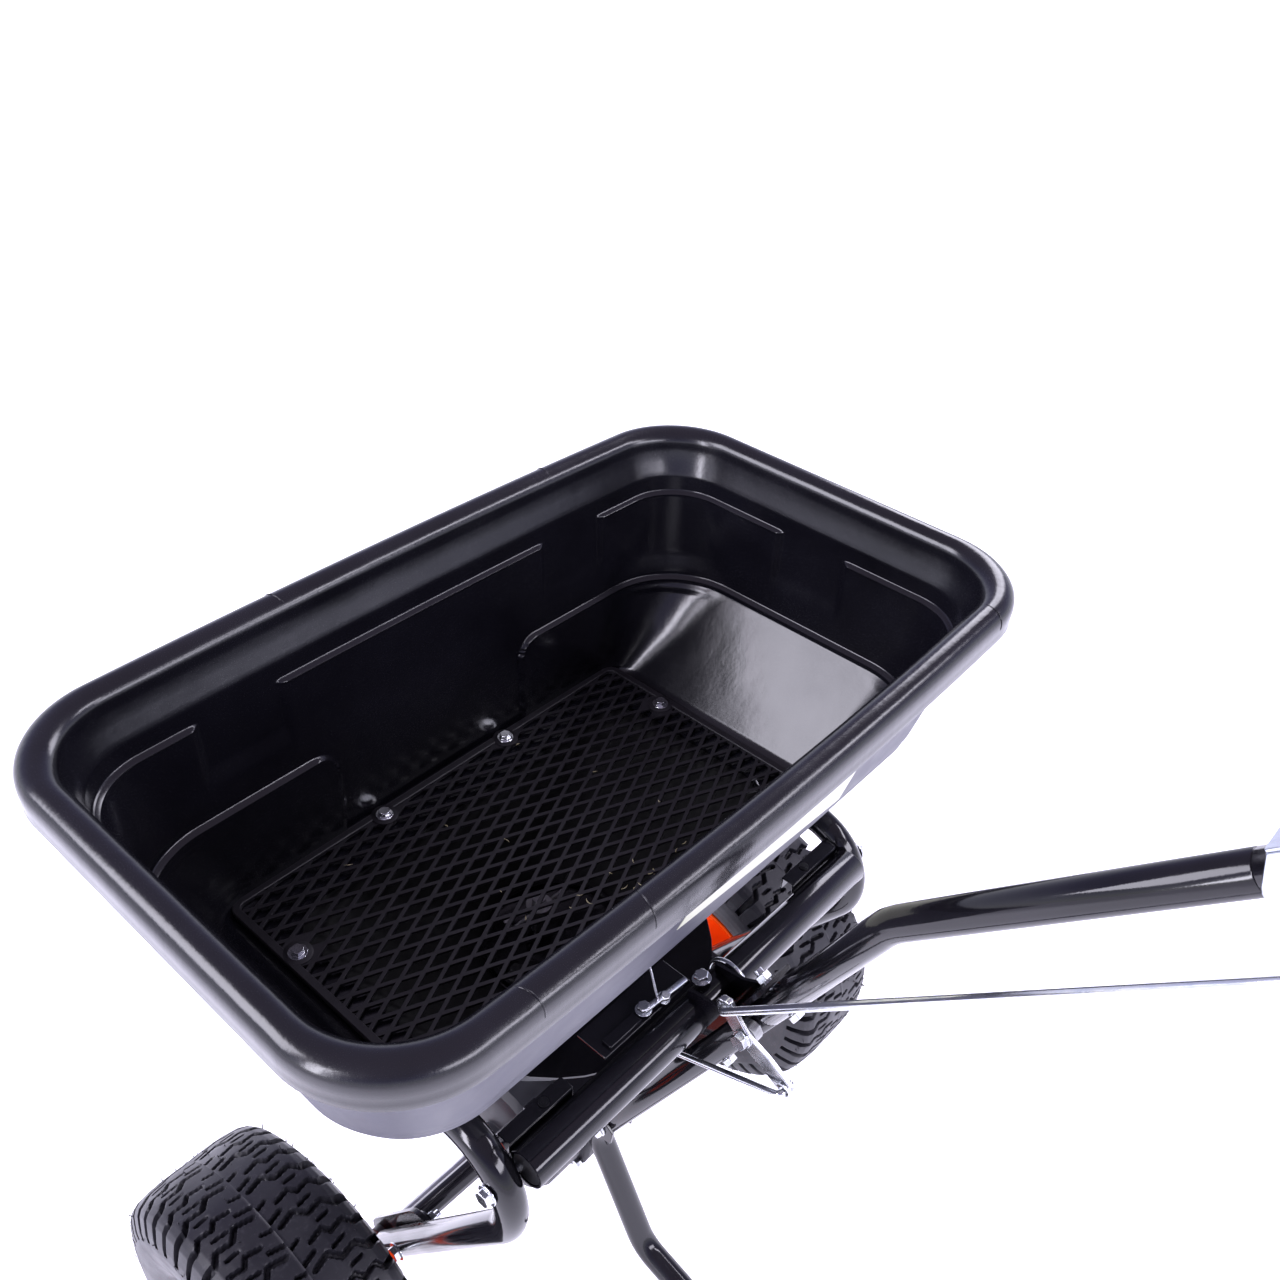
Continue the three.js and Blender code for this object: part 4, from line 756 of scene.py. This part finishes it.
GRIP_R, PLAIN_GRIP_R, RIB_HEIGHT, RIB_PITCH = 15.6, 16.4, 0.9, 7.5
GRIP_LENGTH, GRIP_CAP = 116, 4


def drawn_in(ring, centre):
    return [centre + (point - centre) * 0.02 for point in ring]


def grip(tip, inner):
    """A ribbed sleeve over the crossbar's end, closed at the tip."""
    stations, radii = [], []
    for i in range(61):
        d = -GRIP_CAP + GRIP_LENGTH * i / 60
        stations.append((tip + inner * d, inner))
        ribbed = GRIP_R + RIB_HEIGHT * (0.5 + 0.5 * math.cos(2 * math.pi * d / RIB_PITCH))
        radii.append(ribbed if 6 < d < 104 else PLAIN_GRIP_R)
    outer = rings_along(stations, lambda i: radii[i], 36)
    bore = rings_along([stations[2], stations[-1]], lambda i: TUBE_R + 0.15, 36)
    cap = drawn_in(outer[0], tip - inner * GRIP_CAP)
    floor_ring = drawn_in(bore[0], tip - inner * 0.3)
    return loft([cap] + outer + bore[::-1] + [floor_ring])


for side, name, tip in ((-1, "left", tips[0]), (1, "right", tips[1])):
    inner = np.array([-side * math.cos(SWEEP), math.sin(SWEEP), 0])
    piece(f"{name}_grip_v", *grip(np.array(tip), inner), GRIP, "frame", f"{name}_grip", 45)

refined("stand_foot", NYLON, "frame", 1.0)

# ------------------------------------------------------------------ plates, brackets, gearbox, fasteners

for node in ("left_axle_hanger", "right_axle_hanger", "handle_bracket", "gearbox_bracket"):
    refined(node, PAINT, "frame", 0.6)
for node in ("left_brace", "right_brace"):
    refined(node, PAINT, "frame", 0.8)
for node in ("gearbox_left", "gearbox_right", "left_axle_bushing", "right_axle_bushing"):
    refined(node, NYLON, "frame", 0.8)
FASTENERS = (
    "cross_tube_bolt_left cross_tube_bolt_right left_hanger_bolt right_hanger_bolt handle_bolt_upper "
    "handle_bolt_lower lever_pivot_bolt gearbox_bolt_1 gearbox_bolt_2 gearbox_bolt_3 "
    "gearbox_bracket_bolt crank_pivot_bolt"
)
for node in FASTENERS.split():
    refined(node, ZINC, "frame", 0.5)


def lever_saddle():
    """Two cheeks and a roof over the handle; the cheeks' lower ends have a round corner."""
    square_down = np.array([-RUN[1], RUN[0]])
    inner_x, thick, roof_down = TUBE_R + 0.3, 2.5, -17.0
    cheek = [
        (14.4, roof_down), (3.4, -0.3), (1.9, 3.6), (1.8, 6.0), (2.9, 8.2), (5.2, 9.6), (9, 10.4),
        (24, 13), (34, 17), (44, 20), (108, 20), (114, 17.6), (118, 12), (118, roof_down),
    ]
    roof_top, roof_under = roof_down - thick, roof_down - 0.05
    roof = [(14.6, roof_top), (14.6, roof_under), (118, roof_under), (118, roof_top)]

    def plate(outline, x0, x1):
        corner = np.array(HANDLE[-1][1:3])
        points = [corner + RUN * along + square_down * down for along, down in outline]
        return capped([[(x0, *p) for p in points], [(x1, *p) for p in points]])

    return joined(
        plate(cheek, -inner_x - thick, -inner_x),
        plate(cheek, inner_x, inner_x + thick),
        plate(roof, -inner_x - thick, inner_x + thick),
    )


# The saddle takes the zinc copy with painted shade and reflection tint.
piece("lever_saddle_v", *lever_saddle(), SADDLE_ZINC_PAINTED_SHADE, "frame", "lever_saddle", bevel=0.6)
refined("shutoff_base", PAINT, "frame", 0.6)
refined("gate_plate", ZINC, "gate", 0.4)
refined("bell_crank", ZINC, "bell_crank", 0.6)
refined("flow_lever", ZINC, "lever", 0.6)
refined("lever_grip", GRIP, "lever", 1.5)
refined("impeller", NYLON, "rotor", 0.5)
refined("agitator", STEEL, "rotor", 0.4)
refined("pinion_shaft", STEEL, "rotor", 0.3)
refined("ring_gear", NYLON, "drive_axle", 0.3)
refined("drive_pin", ZINC, "drive_axle", 0.4)
refined("axle", STEEL, "drive_axle", 0.8)
for node, body in (("left_valve", "drive_axle"), ("right_valve", "free_wheel")):
    refined(node, NYLON, body, 0.4)


def slab(low, high):
    """A block between two opposite corners."""
    x0, y0, z0 = low
    x1, y1, z1 = high
    lower = [(x0, y0, z0), (x1, y0, z0), (x1, y1, z0), (x0, y1, z0)]
    return capped([lower, [(x, y, z1) for x, y, _ in lower]])


def bar(start, end, radius, sides=20):
    start, end = np.array(start, float), np.array(end, float)
    along = (end - start) / np.linalg.norm(end - start)
    return capped(rings_along([(start, along), (end, along)], lambda i: radius, sides))


def hex_head(centre, axis, across, height):
    """A bolt head with eased corners, standing on a washer."""
    axis = np.array(axis, float) / np.linalg.norm(axis)
    centre = np.array(centre, float)
    steps = [(1.3, across * 0.5), (height * 0.8 + 1.3, across * 0.5), (height + 1.3, across * 0.42)]
    levels = [rings_along([(centre + axis * d, axis)], lambda i, r=r: r, 6)[0] for d, r in steps]
    head = capped(levels)
    washer = bar(centre, centre + axis * 1.3, across * 0.62, 28)
    return joined(washer, head)


# Plates and hardware between the hopper and the cross tube.
for side, name in ((-1, "left"), (1, "right")):
    x0, x1 = sorted((side * 201.0, side * 137.0))
    channel = joined(
        slab((x0, -140.6, 517.6), (x1, -127.5, 519.2)),
        slab((x0, -140.6, 506), (x1, -139.0, 517.5)),
        slab((x0, -129.1, 506), (x1, -127.5, 517.5)),
    )
    piece(f"tube_channel_{name}", *channel, PAINT, "frame", bevel=0.5)
    foot, shoulder, top = ((side * 161, -134, z) for z in (519.2, 520.4, 521.0))
    rivet = joined(bar(foot, shoulder, 4.2), bar(shoulder, top, 2.6))
    piece(f"channel_rivet_{name}", *rivet, PLUG, "frame")
support = joined(
    slab((-105, -143, 520.5), (-6, -113, 523.0)),
    slab((-97, -141, 523.1), (-62, -131, 526)),
)
piece("support_plate", *support, PAINT, "frame", bevel=0.6)
THREADS, THREAD_PITCH, ROOT_R, CREST_R = 36, 1.25, 2.5, 3.1
threads = []
for i in range(THREADS):
    at_x = -57 + THREAD_PITCH * i
    for d, r in ((0, ROOT_R), (0.6, CREST_R)):
        threads.append((np.array([at_x + d, -138.5 - 0.1 * i, 529.5]), r))
stations = [(point, np.array([1.0, -0.08, 0.0])) for point, _ in threads]
piece("adjuster_screw", *capped(rings_along(stations, lambda i: threads[i][1], 20)), ZINC, "frame", smooth=25)
HARDWARE = (  # foot, axis, width across flats
    ((-55, -136, 526.2), (0, 0, 1), 11),
    ((-36, -140, 526.2), (0.1, -0.3, 1), 9),
    ((-1, -150, 526.5), (0, 0.2, 1), 13),
)
for index, (where, axis, across) in enumerate(HARDWARE):
    piece(f"hardware_bolt_{index + 1}", *hex_head(where, axis, across, 5), ZINC, "frame", bevel=0.3)
wire = [(-33, -118, 551.5), (-33, -119.5, 552.5, 2), (-44, -141, 533, 3), (-50, -141, 529)]
tube("return_wire", wire, 0.9, ZINC, "frame", wall=0, sides=12, ease=0.2)

CRANK_X, CRANK_THICK, ROD_R, LINK_R = -26.0, 4.0, 3.3, 2.6
CRANK_FRONT, CRANK_REAR, LINK_FRONT = (-192, 557), (-254, 514), (-125, 456)
crank_face = CRANK_X - CRANK_THICK / 2 - 0.3
square = np.array([-RUN[1], RUN[0]])
LEVER_PIVOT = np.array([-540.0, 965.3])
LEVER_JOINT = LEVER_PIVOT + square * 46
lever_x1 = -(TUBE_R + 0.3 + 2.5 + 0.3)
lever_x0 = lever_x1 - 4
low_x, high_x = crank_face - ROD_R - 4, lever_x0 - 0.3 - ROD_R - 4
control = [
    (CRANK_X + CRANK_THICK / 2 + 3, *CRANK_FRONT),
    (low_x, *CRANK_FRONT, 7),
    (high_x, *LEVER_JOINT, 7),
    (lever_x1 + 2.5, *LEVER_JOINT),
]
tube("control_rod_v", control, ROD_R, ZINC, "control_rod", "control_rod", 0, 20)
link_x = crank_face - LINK_R - 3
inside = CRANK_X + CRANK_THICK / 2 + 5
link = [(inside, *CRANK_REAR), (link_x, *CRANK_REAR, 5), (link_x, *LINK_FRONT, 5), (inside, *LINK_FRONT)]
tube("link_rod_v", link, LINK_R, ZINC, "link_rod", "link_rod", 0, 18)
CLIP_WIRE_R = 2.2
clip_r = CROSS_R + 0.3 + CLIP_WIRE_R
clip_centre = np.array([27, CROSS_Y, CROSS_Z])
clip = []
for i in range(33):
    a = (-0.25 + 1.3 * i / 32) * math.pi
    radial = np.array([0, math.cos(a), math.sin(a)])
    clip.append((clip_centre + radial * clip_r, np.array([0, -math.sin(a), math.cos(a)])))
clip_rings = rings_along(clip, lambda i: CLIP_WIRE_R, 18)
piece("cross_tube_clip_v", *capped(clip_rings), ZINC, "frame", "cross_tube_clip", 50)

SPRING_R, SPRING_WIRE_R, SPRING_LENGTH, SPRING_TURNS, COIL_STEPS = 8.4, 0.75, 8.6, 6, 15
crank_pivot = np.array([CRANK_X + CRANK_THICK / 2 + 0.9, -211.3, 536.0])
coil = []
for i in range(SPRING_TURNS * COIL_STEPS):
    a = 2 * math.pi * i / COIL_STEPS
    travel = SPRING_LENGTH * i / (SPRING_TURNS * COIL_STEPS - 1)
    coil.append(crank_pivot + np.array([travel, SPRING_R * math.cos(a), SPRING_R * math.sin(a)]))
stations = []
for i, point in enumerate(coil):
    run = coil[min(len(coil) - 1, i + 1)] - coil[max(0, i - 1)]
    stations.append((point, run / np.linalg.norm(run)))
piece("crank_spring", *capped(rings_along(stations, lambda i: SPRING_WIRE_R, 8)), STEEL, "frame", smooth=60)
COLLAR_PROFILE = ((0, 1.8), (0, 4.4), (-1.2, 4.4), (-1.8, 3.6), (-1.8, 1.8))  # along, radius past the rod's
collar_x = CRANK_X - CRANK_THICK / 2
for name, (y, z), radius in (("front", CRANK_FRONT, ROD_R), ("rear", CRANK_REAR, LINK_R)):
    profile = [(along, radius + past) for along, past in COLLAR_PROFILE]
    piece(f"crank_collar_{name}", *lathe(profile, (collar_x, y, z), "x", 28), ZINC, "bell_crank")

# ------------------------------------------------------------------ wheels

WHEEL_X, TYRE_R, HALF_TREAD, RIM_R = 308.0, 168.0, 65.5, 82.0
PERIODS = 23  # repeats of the tread round the tyre
CUT, SHOULDER_CUT, SHOULDER_DRAW = 6.8, 3.2, 4.2  # depth of the tread, and what the shoulders add


def tread_depth(arc, x, period):
    """How deep the tread is cut at each point: staggered zigzag slits and open shoulder gaps."""
    slits = [
        ([(72, 1), (50, 0)], 3.5),
        ([(60, 0), (49, -1), (42, 9), (28, 6), (20, 16), (6, 12)], 2.1),
        ([(72, 24), (53, 23)], 3.1),
        ([(60, 23), (51, 22), (45, 31), (33, 28), (28, 35), (16, 32)], 1.8),
        ([(38, 19), (27, 17)], 1.3),
        ([(40, 43), (30, 42)], 1.3),
        ([(13, 24), (2, 21)], 1.6),
        ([(9, 40), (2, 38)], 1.3),
    ]
    nearest = np.full(arc.shape, 99.0)
    offset = np.where(x >= 0, 0.0, period * 0.5)
    u = np.mod(arc + offset, period)
    away = np.abs(x)
    for points, half in slits:
        for (x0, u0), (x1, u1) in zip(points[:-1], points[1:]):
            for wrap in (-period, 0, period):
                dx, du = x1 - x0, u1 - u0
                t = np.clip(((away - x0) * dx + (u - u0 - wrap) * du) / (dx * dx + du * du), 0, 1)
                gap = np.hypot(away - x0 - t * dx, u - u0 - wrap - t * du)
                nearest = np.minimum(nearest, gap - half)
    return 1 - smoothstep((nearest + 0.4) / 1.0)


def tyre_shell(side):
    """A hollow tyre with its tread cut in, a fine mould seam and fine ribs on the side walls."""
    heights = [  # half width and height above the rim, from the bead up to the crown
        (47.4, 2.8), (50, 5), (55, 10.5), (59.5, 17), (62.6, 26), (64.8, 37), (65.5, 46), (65.0, 55),
        (63.4, 63.5), (61, 70), (58.3, 76.4), (54.5, 80.4), (49, 82.9), (38, 84.6), (26, 85.6),
        (13, 85.6), (0, 85.4),
    ]
    outline = [(x, RIM_R + height) for x, height in heights]
    dense = [outline[0]]
    for (x0, r0), (x1, r1) in zip(outline[:-1], outline[1:]):
        steps = max(1, int(math.hypot(x1 - x0, r1 - r0) / 1.2))
        dense += [(x0 + (x1 - x0) * s / steps, r0 + (r1 - r0) * s / steps) for s in range(1, steps + 1)]
    profile = np.array(dense + [(-x, r) for x, r in dense[-2::-1]])
    inside = [(-43.5, RIM_R - 4.6), (-36, RIM_R - 6), (-36, RIM_R + 3), (-52, RIM_R + 15)]
    inside += [(-58, RIM_R + 44), (-44, TYRE_R - 16)]
    inner = inside + [(0, TYRE_R - 12)] + [(-x, r) for x, r in inside[::-1]]
    count = 40 * PERIODS
    theta = np.linspace(0, 2 * math.pi, count, endpoint=False)
    period = 2 * math.pi * TYRE_R / PERIODS
    grid_x, grid_t = np.meshgrid(profile[:, 0], theta, indexing="ij")
    radius = np.repeat(profile[:, 1][:, None], count, 1)
    depth = tread_depth(grid_t * TYRE_R, grid_x, period)
    on_tread = smoothstep((radius - (RIM_R + 57)) / 5)
    on_shoulder = smoothstep((np.abs(grid_x) - 48) / 10)
    radius = radius - (CUT + SHOULDER_CUT * on_shoulder) * depth * on_tread
    grid_x = grid_x - np.sign(grid_x) * SHOULDER_DRAW * depth * on_tread * on_shoulder
    ribs = 0.35 * (0.5 + 0.5 * np.cos(2 * math.pi * radius / 2.6))
    above, below = smoothstep((radius - (RIM_R + 22)) / 3), 1 - smoothstep((radius - (RIM_R + 54)) / 3)
    grid_x = grid_x + np.sign(grid_x) * ribs * above * below
    radius = radius + np.exp(-((grid_x / 0.6) ** 2)) * 0.5
    rings = []
    for i in range(len(profile)):
        ring = np.stack([grid_x[i], radius[i] * np.sin(theta), radius[i] * np.cos(theta)], 1)
        rings.append(ring)
    for x, r in inner:
        rings.append(np.stack([np.full(count, x), r * np.sin(theta), r * np.cos(theta)], 1))
    points, faces = loft(rings)
    points[:, 0] *= side
    return points + np.array([side * WHEEL_X, AXLE_Y, AXLE_Z]), faces


HAIRS = 230


def vent_hairs(side):
    """The thin rubber hairs that moulding leaves on a new tyre."""
    parts = []
    for _ in range(HAIRS):
        theta = rng.uniform(0, 2 * math.pi)
        x = rng.choice([-1, 1]) * rng.choice([12, 24, 36, 47, 58, 64.6]) + rng.uniform(-1.5, 1.5)
        r = np.interp(abs(x), [0, 26, 47, 57, 61, 64.6], [167.4, 167.2, 163.8, 157.0, 151.5, 140.0])
        radial = np.array([0, math.sin(theta), math.cos(theta)])
        out = radial + np.array([math.copysign(1, x) * max(0, (abs(x) - 45) / 18), 0, 0])
        out += np.array([rng.uniform(-0.4, 0.4), rng.uniform(-0.4, 0.4), rng.uniform(-0.4, 0.4)])
        out /= np.linalg.norm(out)
        length = rng.uniform(3.0, 7.0) if abs(x) > 45 else rng.uniform(1.2, 4.5)
        base = np.array([x, 0, 0]) + radial * (r - 0.6)
        underside = max(0.0, -radial[2])
        limit = TYRE_R + 6 - 6.4 * smoothstep(underside / 0.3)
        stations = []
        for t in (0, 0.5, 1):
            point = base + out * length * t
            reach = math.hypot(point[1], point[2])
            if reach > limit:
                point[1:] *= limit / reach
            point[0] = max(-HALF_TREAD, min(HALF_TREAD, point[0]))
            stations.append((point, out))
        parts.append(capped(rings_along(stations, lambda i: (0.62, 0.52, 0.36)[i], 5)))
    points, faces = joined(*parts)
    return points + np.array([side * WHEEL_X, AXLE_Y, AXLE_Z]), faces


def rim_shell(side):
    """The pressed rim: a hub, a dished disc and a well with its two flanges."""
    flange = [(44, 69.5), (47, 72), (48.6, 77), (50, 82), (52, 83.7)]
    flange += [(51, 84.6), (49.4, 84), (48, 81), (46.4, 76.5), (44.5, 74.8), (36, 73), (20, 70)]
    dish = [(-12, 21.5), (-9, 23.5), (-7, 28), (-6.5, 34), (-8.5, 46), (-13, 58), (-18, 63.5), (-26, 66.5)]
    face = [(26, 67.5), (12, 66.5), (-6, 65.4), (-8.6, 62), (-5, 52), (-2, 42), (-1.6, 34), (-1, 28)]
    face += [(2, 23.5), (6, 21.5)]
    hub = [(-60, 8.4), (-60, 18.4), (-59.4, 19)]
    near = [(-x, r) for x, r in flange]
    half = hub + dish + near + flange[::-1] + face + [(-x, r) for x, r in hub[::-1]]
    points, faces = lathe(half, (0, 0, 0), "x", 96)
    points[:, 0] *= side
    return points + np.array([side * WHEEL_X, AXLE_Y, AXLE_Z]), faces


for side, name, body in ((-1, "left", "drive_axle"), (1, "right", "free_wheel")):
    piece(f"{name}_tyre_v", *tyre_shell(side), TYRE, body, f"{name}_tyre", 40)
    piece(f"{name}_tyre_hairs", *vent_hairs(side), TYRE, body, smooth=60)
    piece(f"{name}_rim_v", *rim_shell(side), ORANGE, body, f"{name}_rim", 40)

# ------------------------------------------------------------------ stage, lights and camera


def quad(name, corners, mat):
    mesh = bpy.data.meshes.new(name)
    mesh.from_pydata(corners, [], [tuple(range(len(corners)))])
    mesh.materials.append(mat)
    obj = bpy.data.objects.new(name, mesh)
    bpy.context.scene.collection.objects.link(obj)
    return obj


floor_mat, floor_tree, floor_shader, floor_co = material("floor", (0.9, 0.9, 0.93), 0.6, spec=0.2)
floor_cloud = noise(floor_tree, floor_co, 2, 3)
floor_tint = blend_colour(floor_tree, floor_cloud, (0.88, 0.88, 0.92), (0.92, 0.92, 0.95))
floor_tree.links.new(floor_tint, floor_shader.inputs["Base Color"])
floor_shader.inputs["Emission Color"].default_value = (0.86, 0.85, 1.0, 1)
floor_shader.inputs["Emission Strength"].default_value = 1.2
quad("floor", [(-14, -14, 0), (14, -14, 0), (14, 14, 0), (-14, 14, 0)], floor_mat)

world = bpy.data.worlds.new("studio")
bpy.context.scene.world = world
world.use_nodes = True
sky = world.node_tree
background = sky.nodes["Background"]
background.inputs["Strength"].default_value = 1.0
sky_coords = sky.nodes.new("ShaderNodeTexCoord")
sky_split = sky.nodes.new("ShaderNodeSeparateXYZ")
sky_ramp = sky.nodes.new("ShaderNodeValToRGB")
ramp = sky_ramp.color_ramp
ramp.elements[0].position = 0.0
ramp.elements[0].color = (1.3, 1.32, 1.45, 1)
ramp.elements[1].position = 1.0
ramp.elements[1].color = (0.36, 0.31, 0.42, 1)
SKY_BANDS = ((0.12, (1.0, 1.02, 1.3, 1)), (0.36, (0.36, 0.35, 0.62, 1)), (0.62, (0.32, 0.29, 0.42, 1)))
for position, colour in SKY_BANDS:
    element = ramp.elements.new(position)
    element.color = colour
sky.links.new(sky_coords.outputs["Generated"], sky_split.inputs["Vector"])
sky.links.new(sky_split.outputs["Z"], sky_ramp.inputs["Fac"])
sky.links.new(sky_ramp.outputs["Color"], background.inputs["Color"])


SOFTBOX_COLOUR = (0.9, 0.88, 1.0)


def softbox(name, where, aim, size, power):
    light = bpy.data.lights.new(name, "AREA")
    light.shape = "RECTANGLE"
    light.size, light.size_y = size
    light.energy = power
    light.color = SOFTBOX_COLOUR
    obj = bpy.data.objects.new(name, light)
    obj.location = where
    obj.rotation_euler = (Vector(aim) - Vector(where)).to_track_quat("-Z", "Y").to_euler()
    bpy.context.scene.collection.objects.link(obj)


softbox("left_front_box", (-1.64, 1.34, 1.94), (0.2, 0.25, 0.6), (1.15, 1.15), 42)
softbox("rear_box", (0.3, -2.4, 1.9), (0, 0.1, 0.75), (2.4, 0.6), 50)
softbox("left_box", (-2.5, 0.2, 1.75), (0, 0.2, 0.6), (0.4, 1.7), 46)
softbox("ledge_box", (1.7, -1.5, 2.5), (0, 0.35, 0.7), (1.7, 0.4), 26)
softbox("right_box", (2.6, 0.9, 2.0), (0, 0.2, 0.5), (1.0, 1.2), 30)

AZIMUTH, ELEVATION, ROLL = math.radians(-50.17), math.radians(36.66), math.radians(3.43)
CAMERA_AT = (-0.5311, -0.5074 + HOPPER_Y * 0.001, 1.3314)
level_part = math.cos(ELEVATION)
back = Vector((math.sin(AZIMUTH) * level_part, -math.cos(AZIMUTH) * level_part, math.sin(ELEVATION)))
right = (-back).cross(Vector((0, 0, 1))).normalized()
up = right.cross(-back)
turned_right = right * math.cos(ROLL) + up * math.sin(ROLL)
turned_up = up * math.cos(ROLL) - right * math.sin(ROLL)
camera = bpy.data.cameras.new("camera")
camera.sensor_width = 36
camera.lens = 35.08
camera.clip_end = 50
camera_object = bpy.data.objects.new("camera", camera)
camera_object.matrix_world = Matrix((
    (turned_right.x, turned_up.x, back.x, CAMERA_AT[0]),
    (turned_right.y, turned_up.y, back.y, CAMERA_AT[1]),
    (turned_right.z, turned_up.z, back.z, CAMERA_AT[2]),
    (0, 0, 0, 1),
))
bpy.context.scene.collection.objects.link(camera_object)
scene = bpy.context.scene
scene.camera = camera_object
scene.view_settings.view_transform = "Standard"
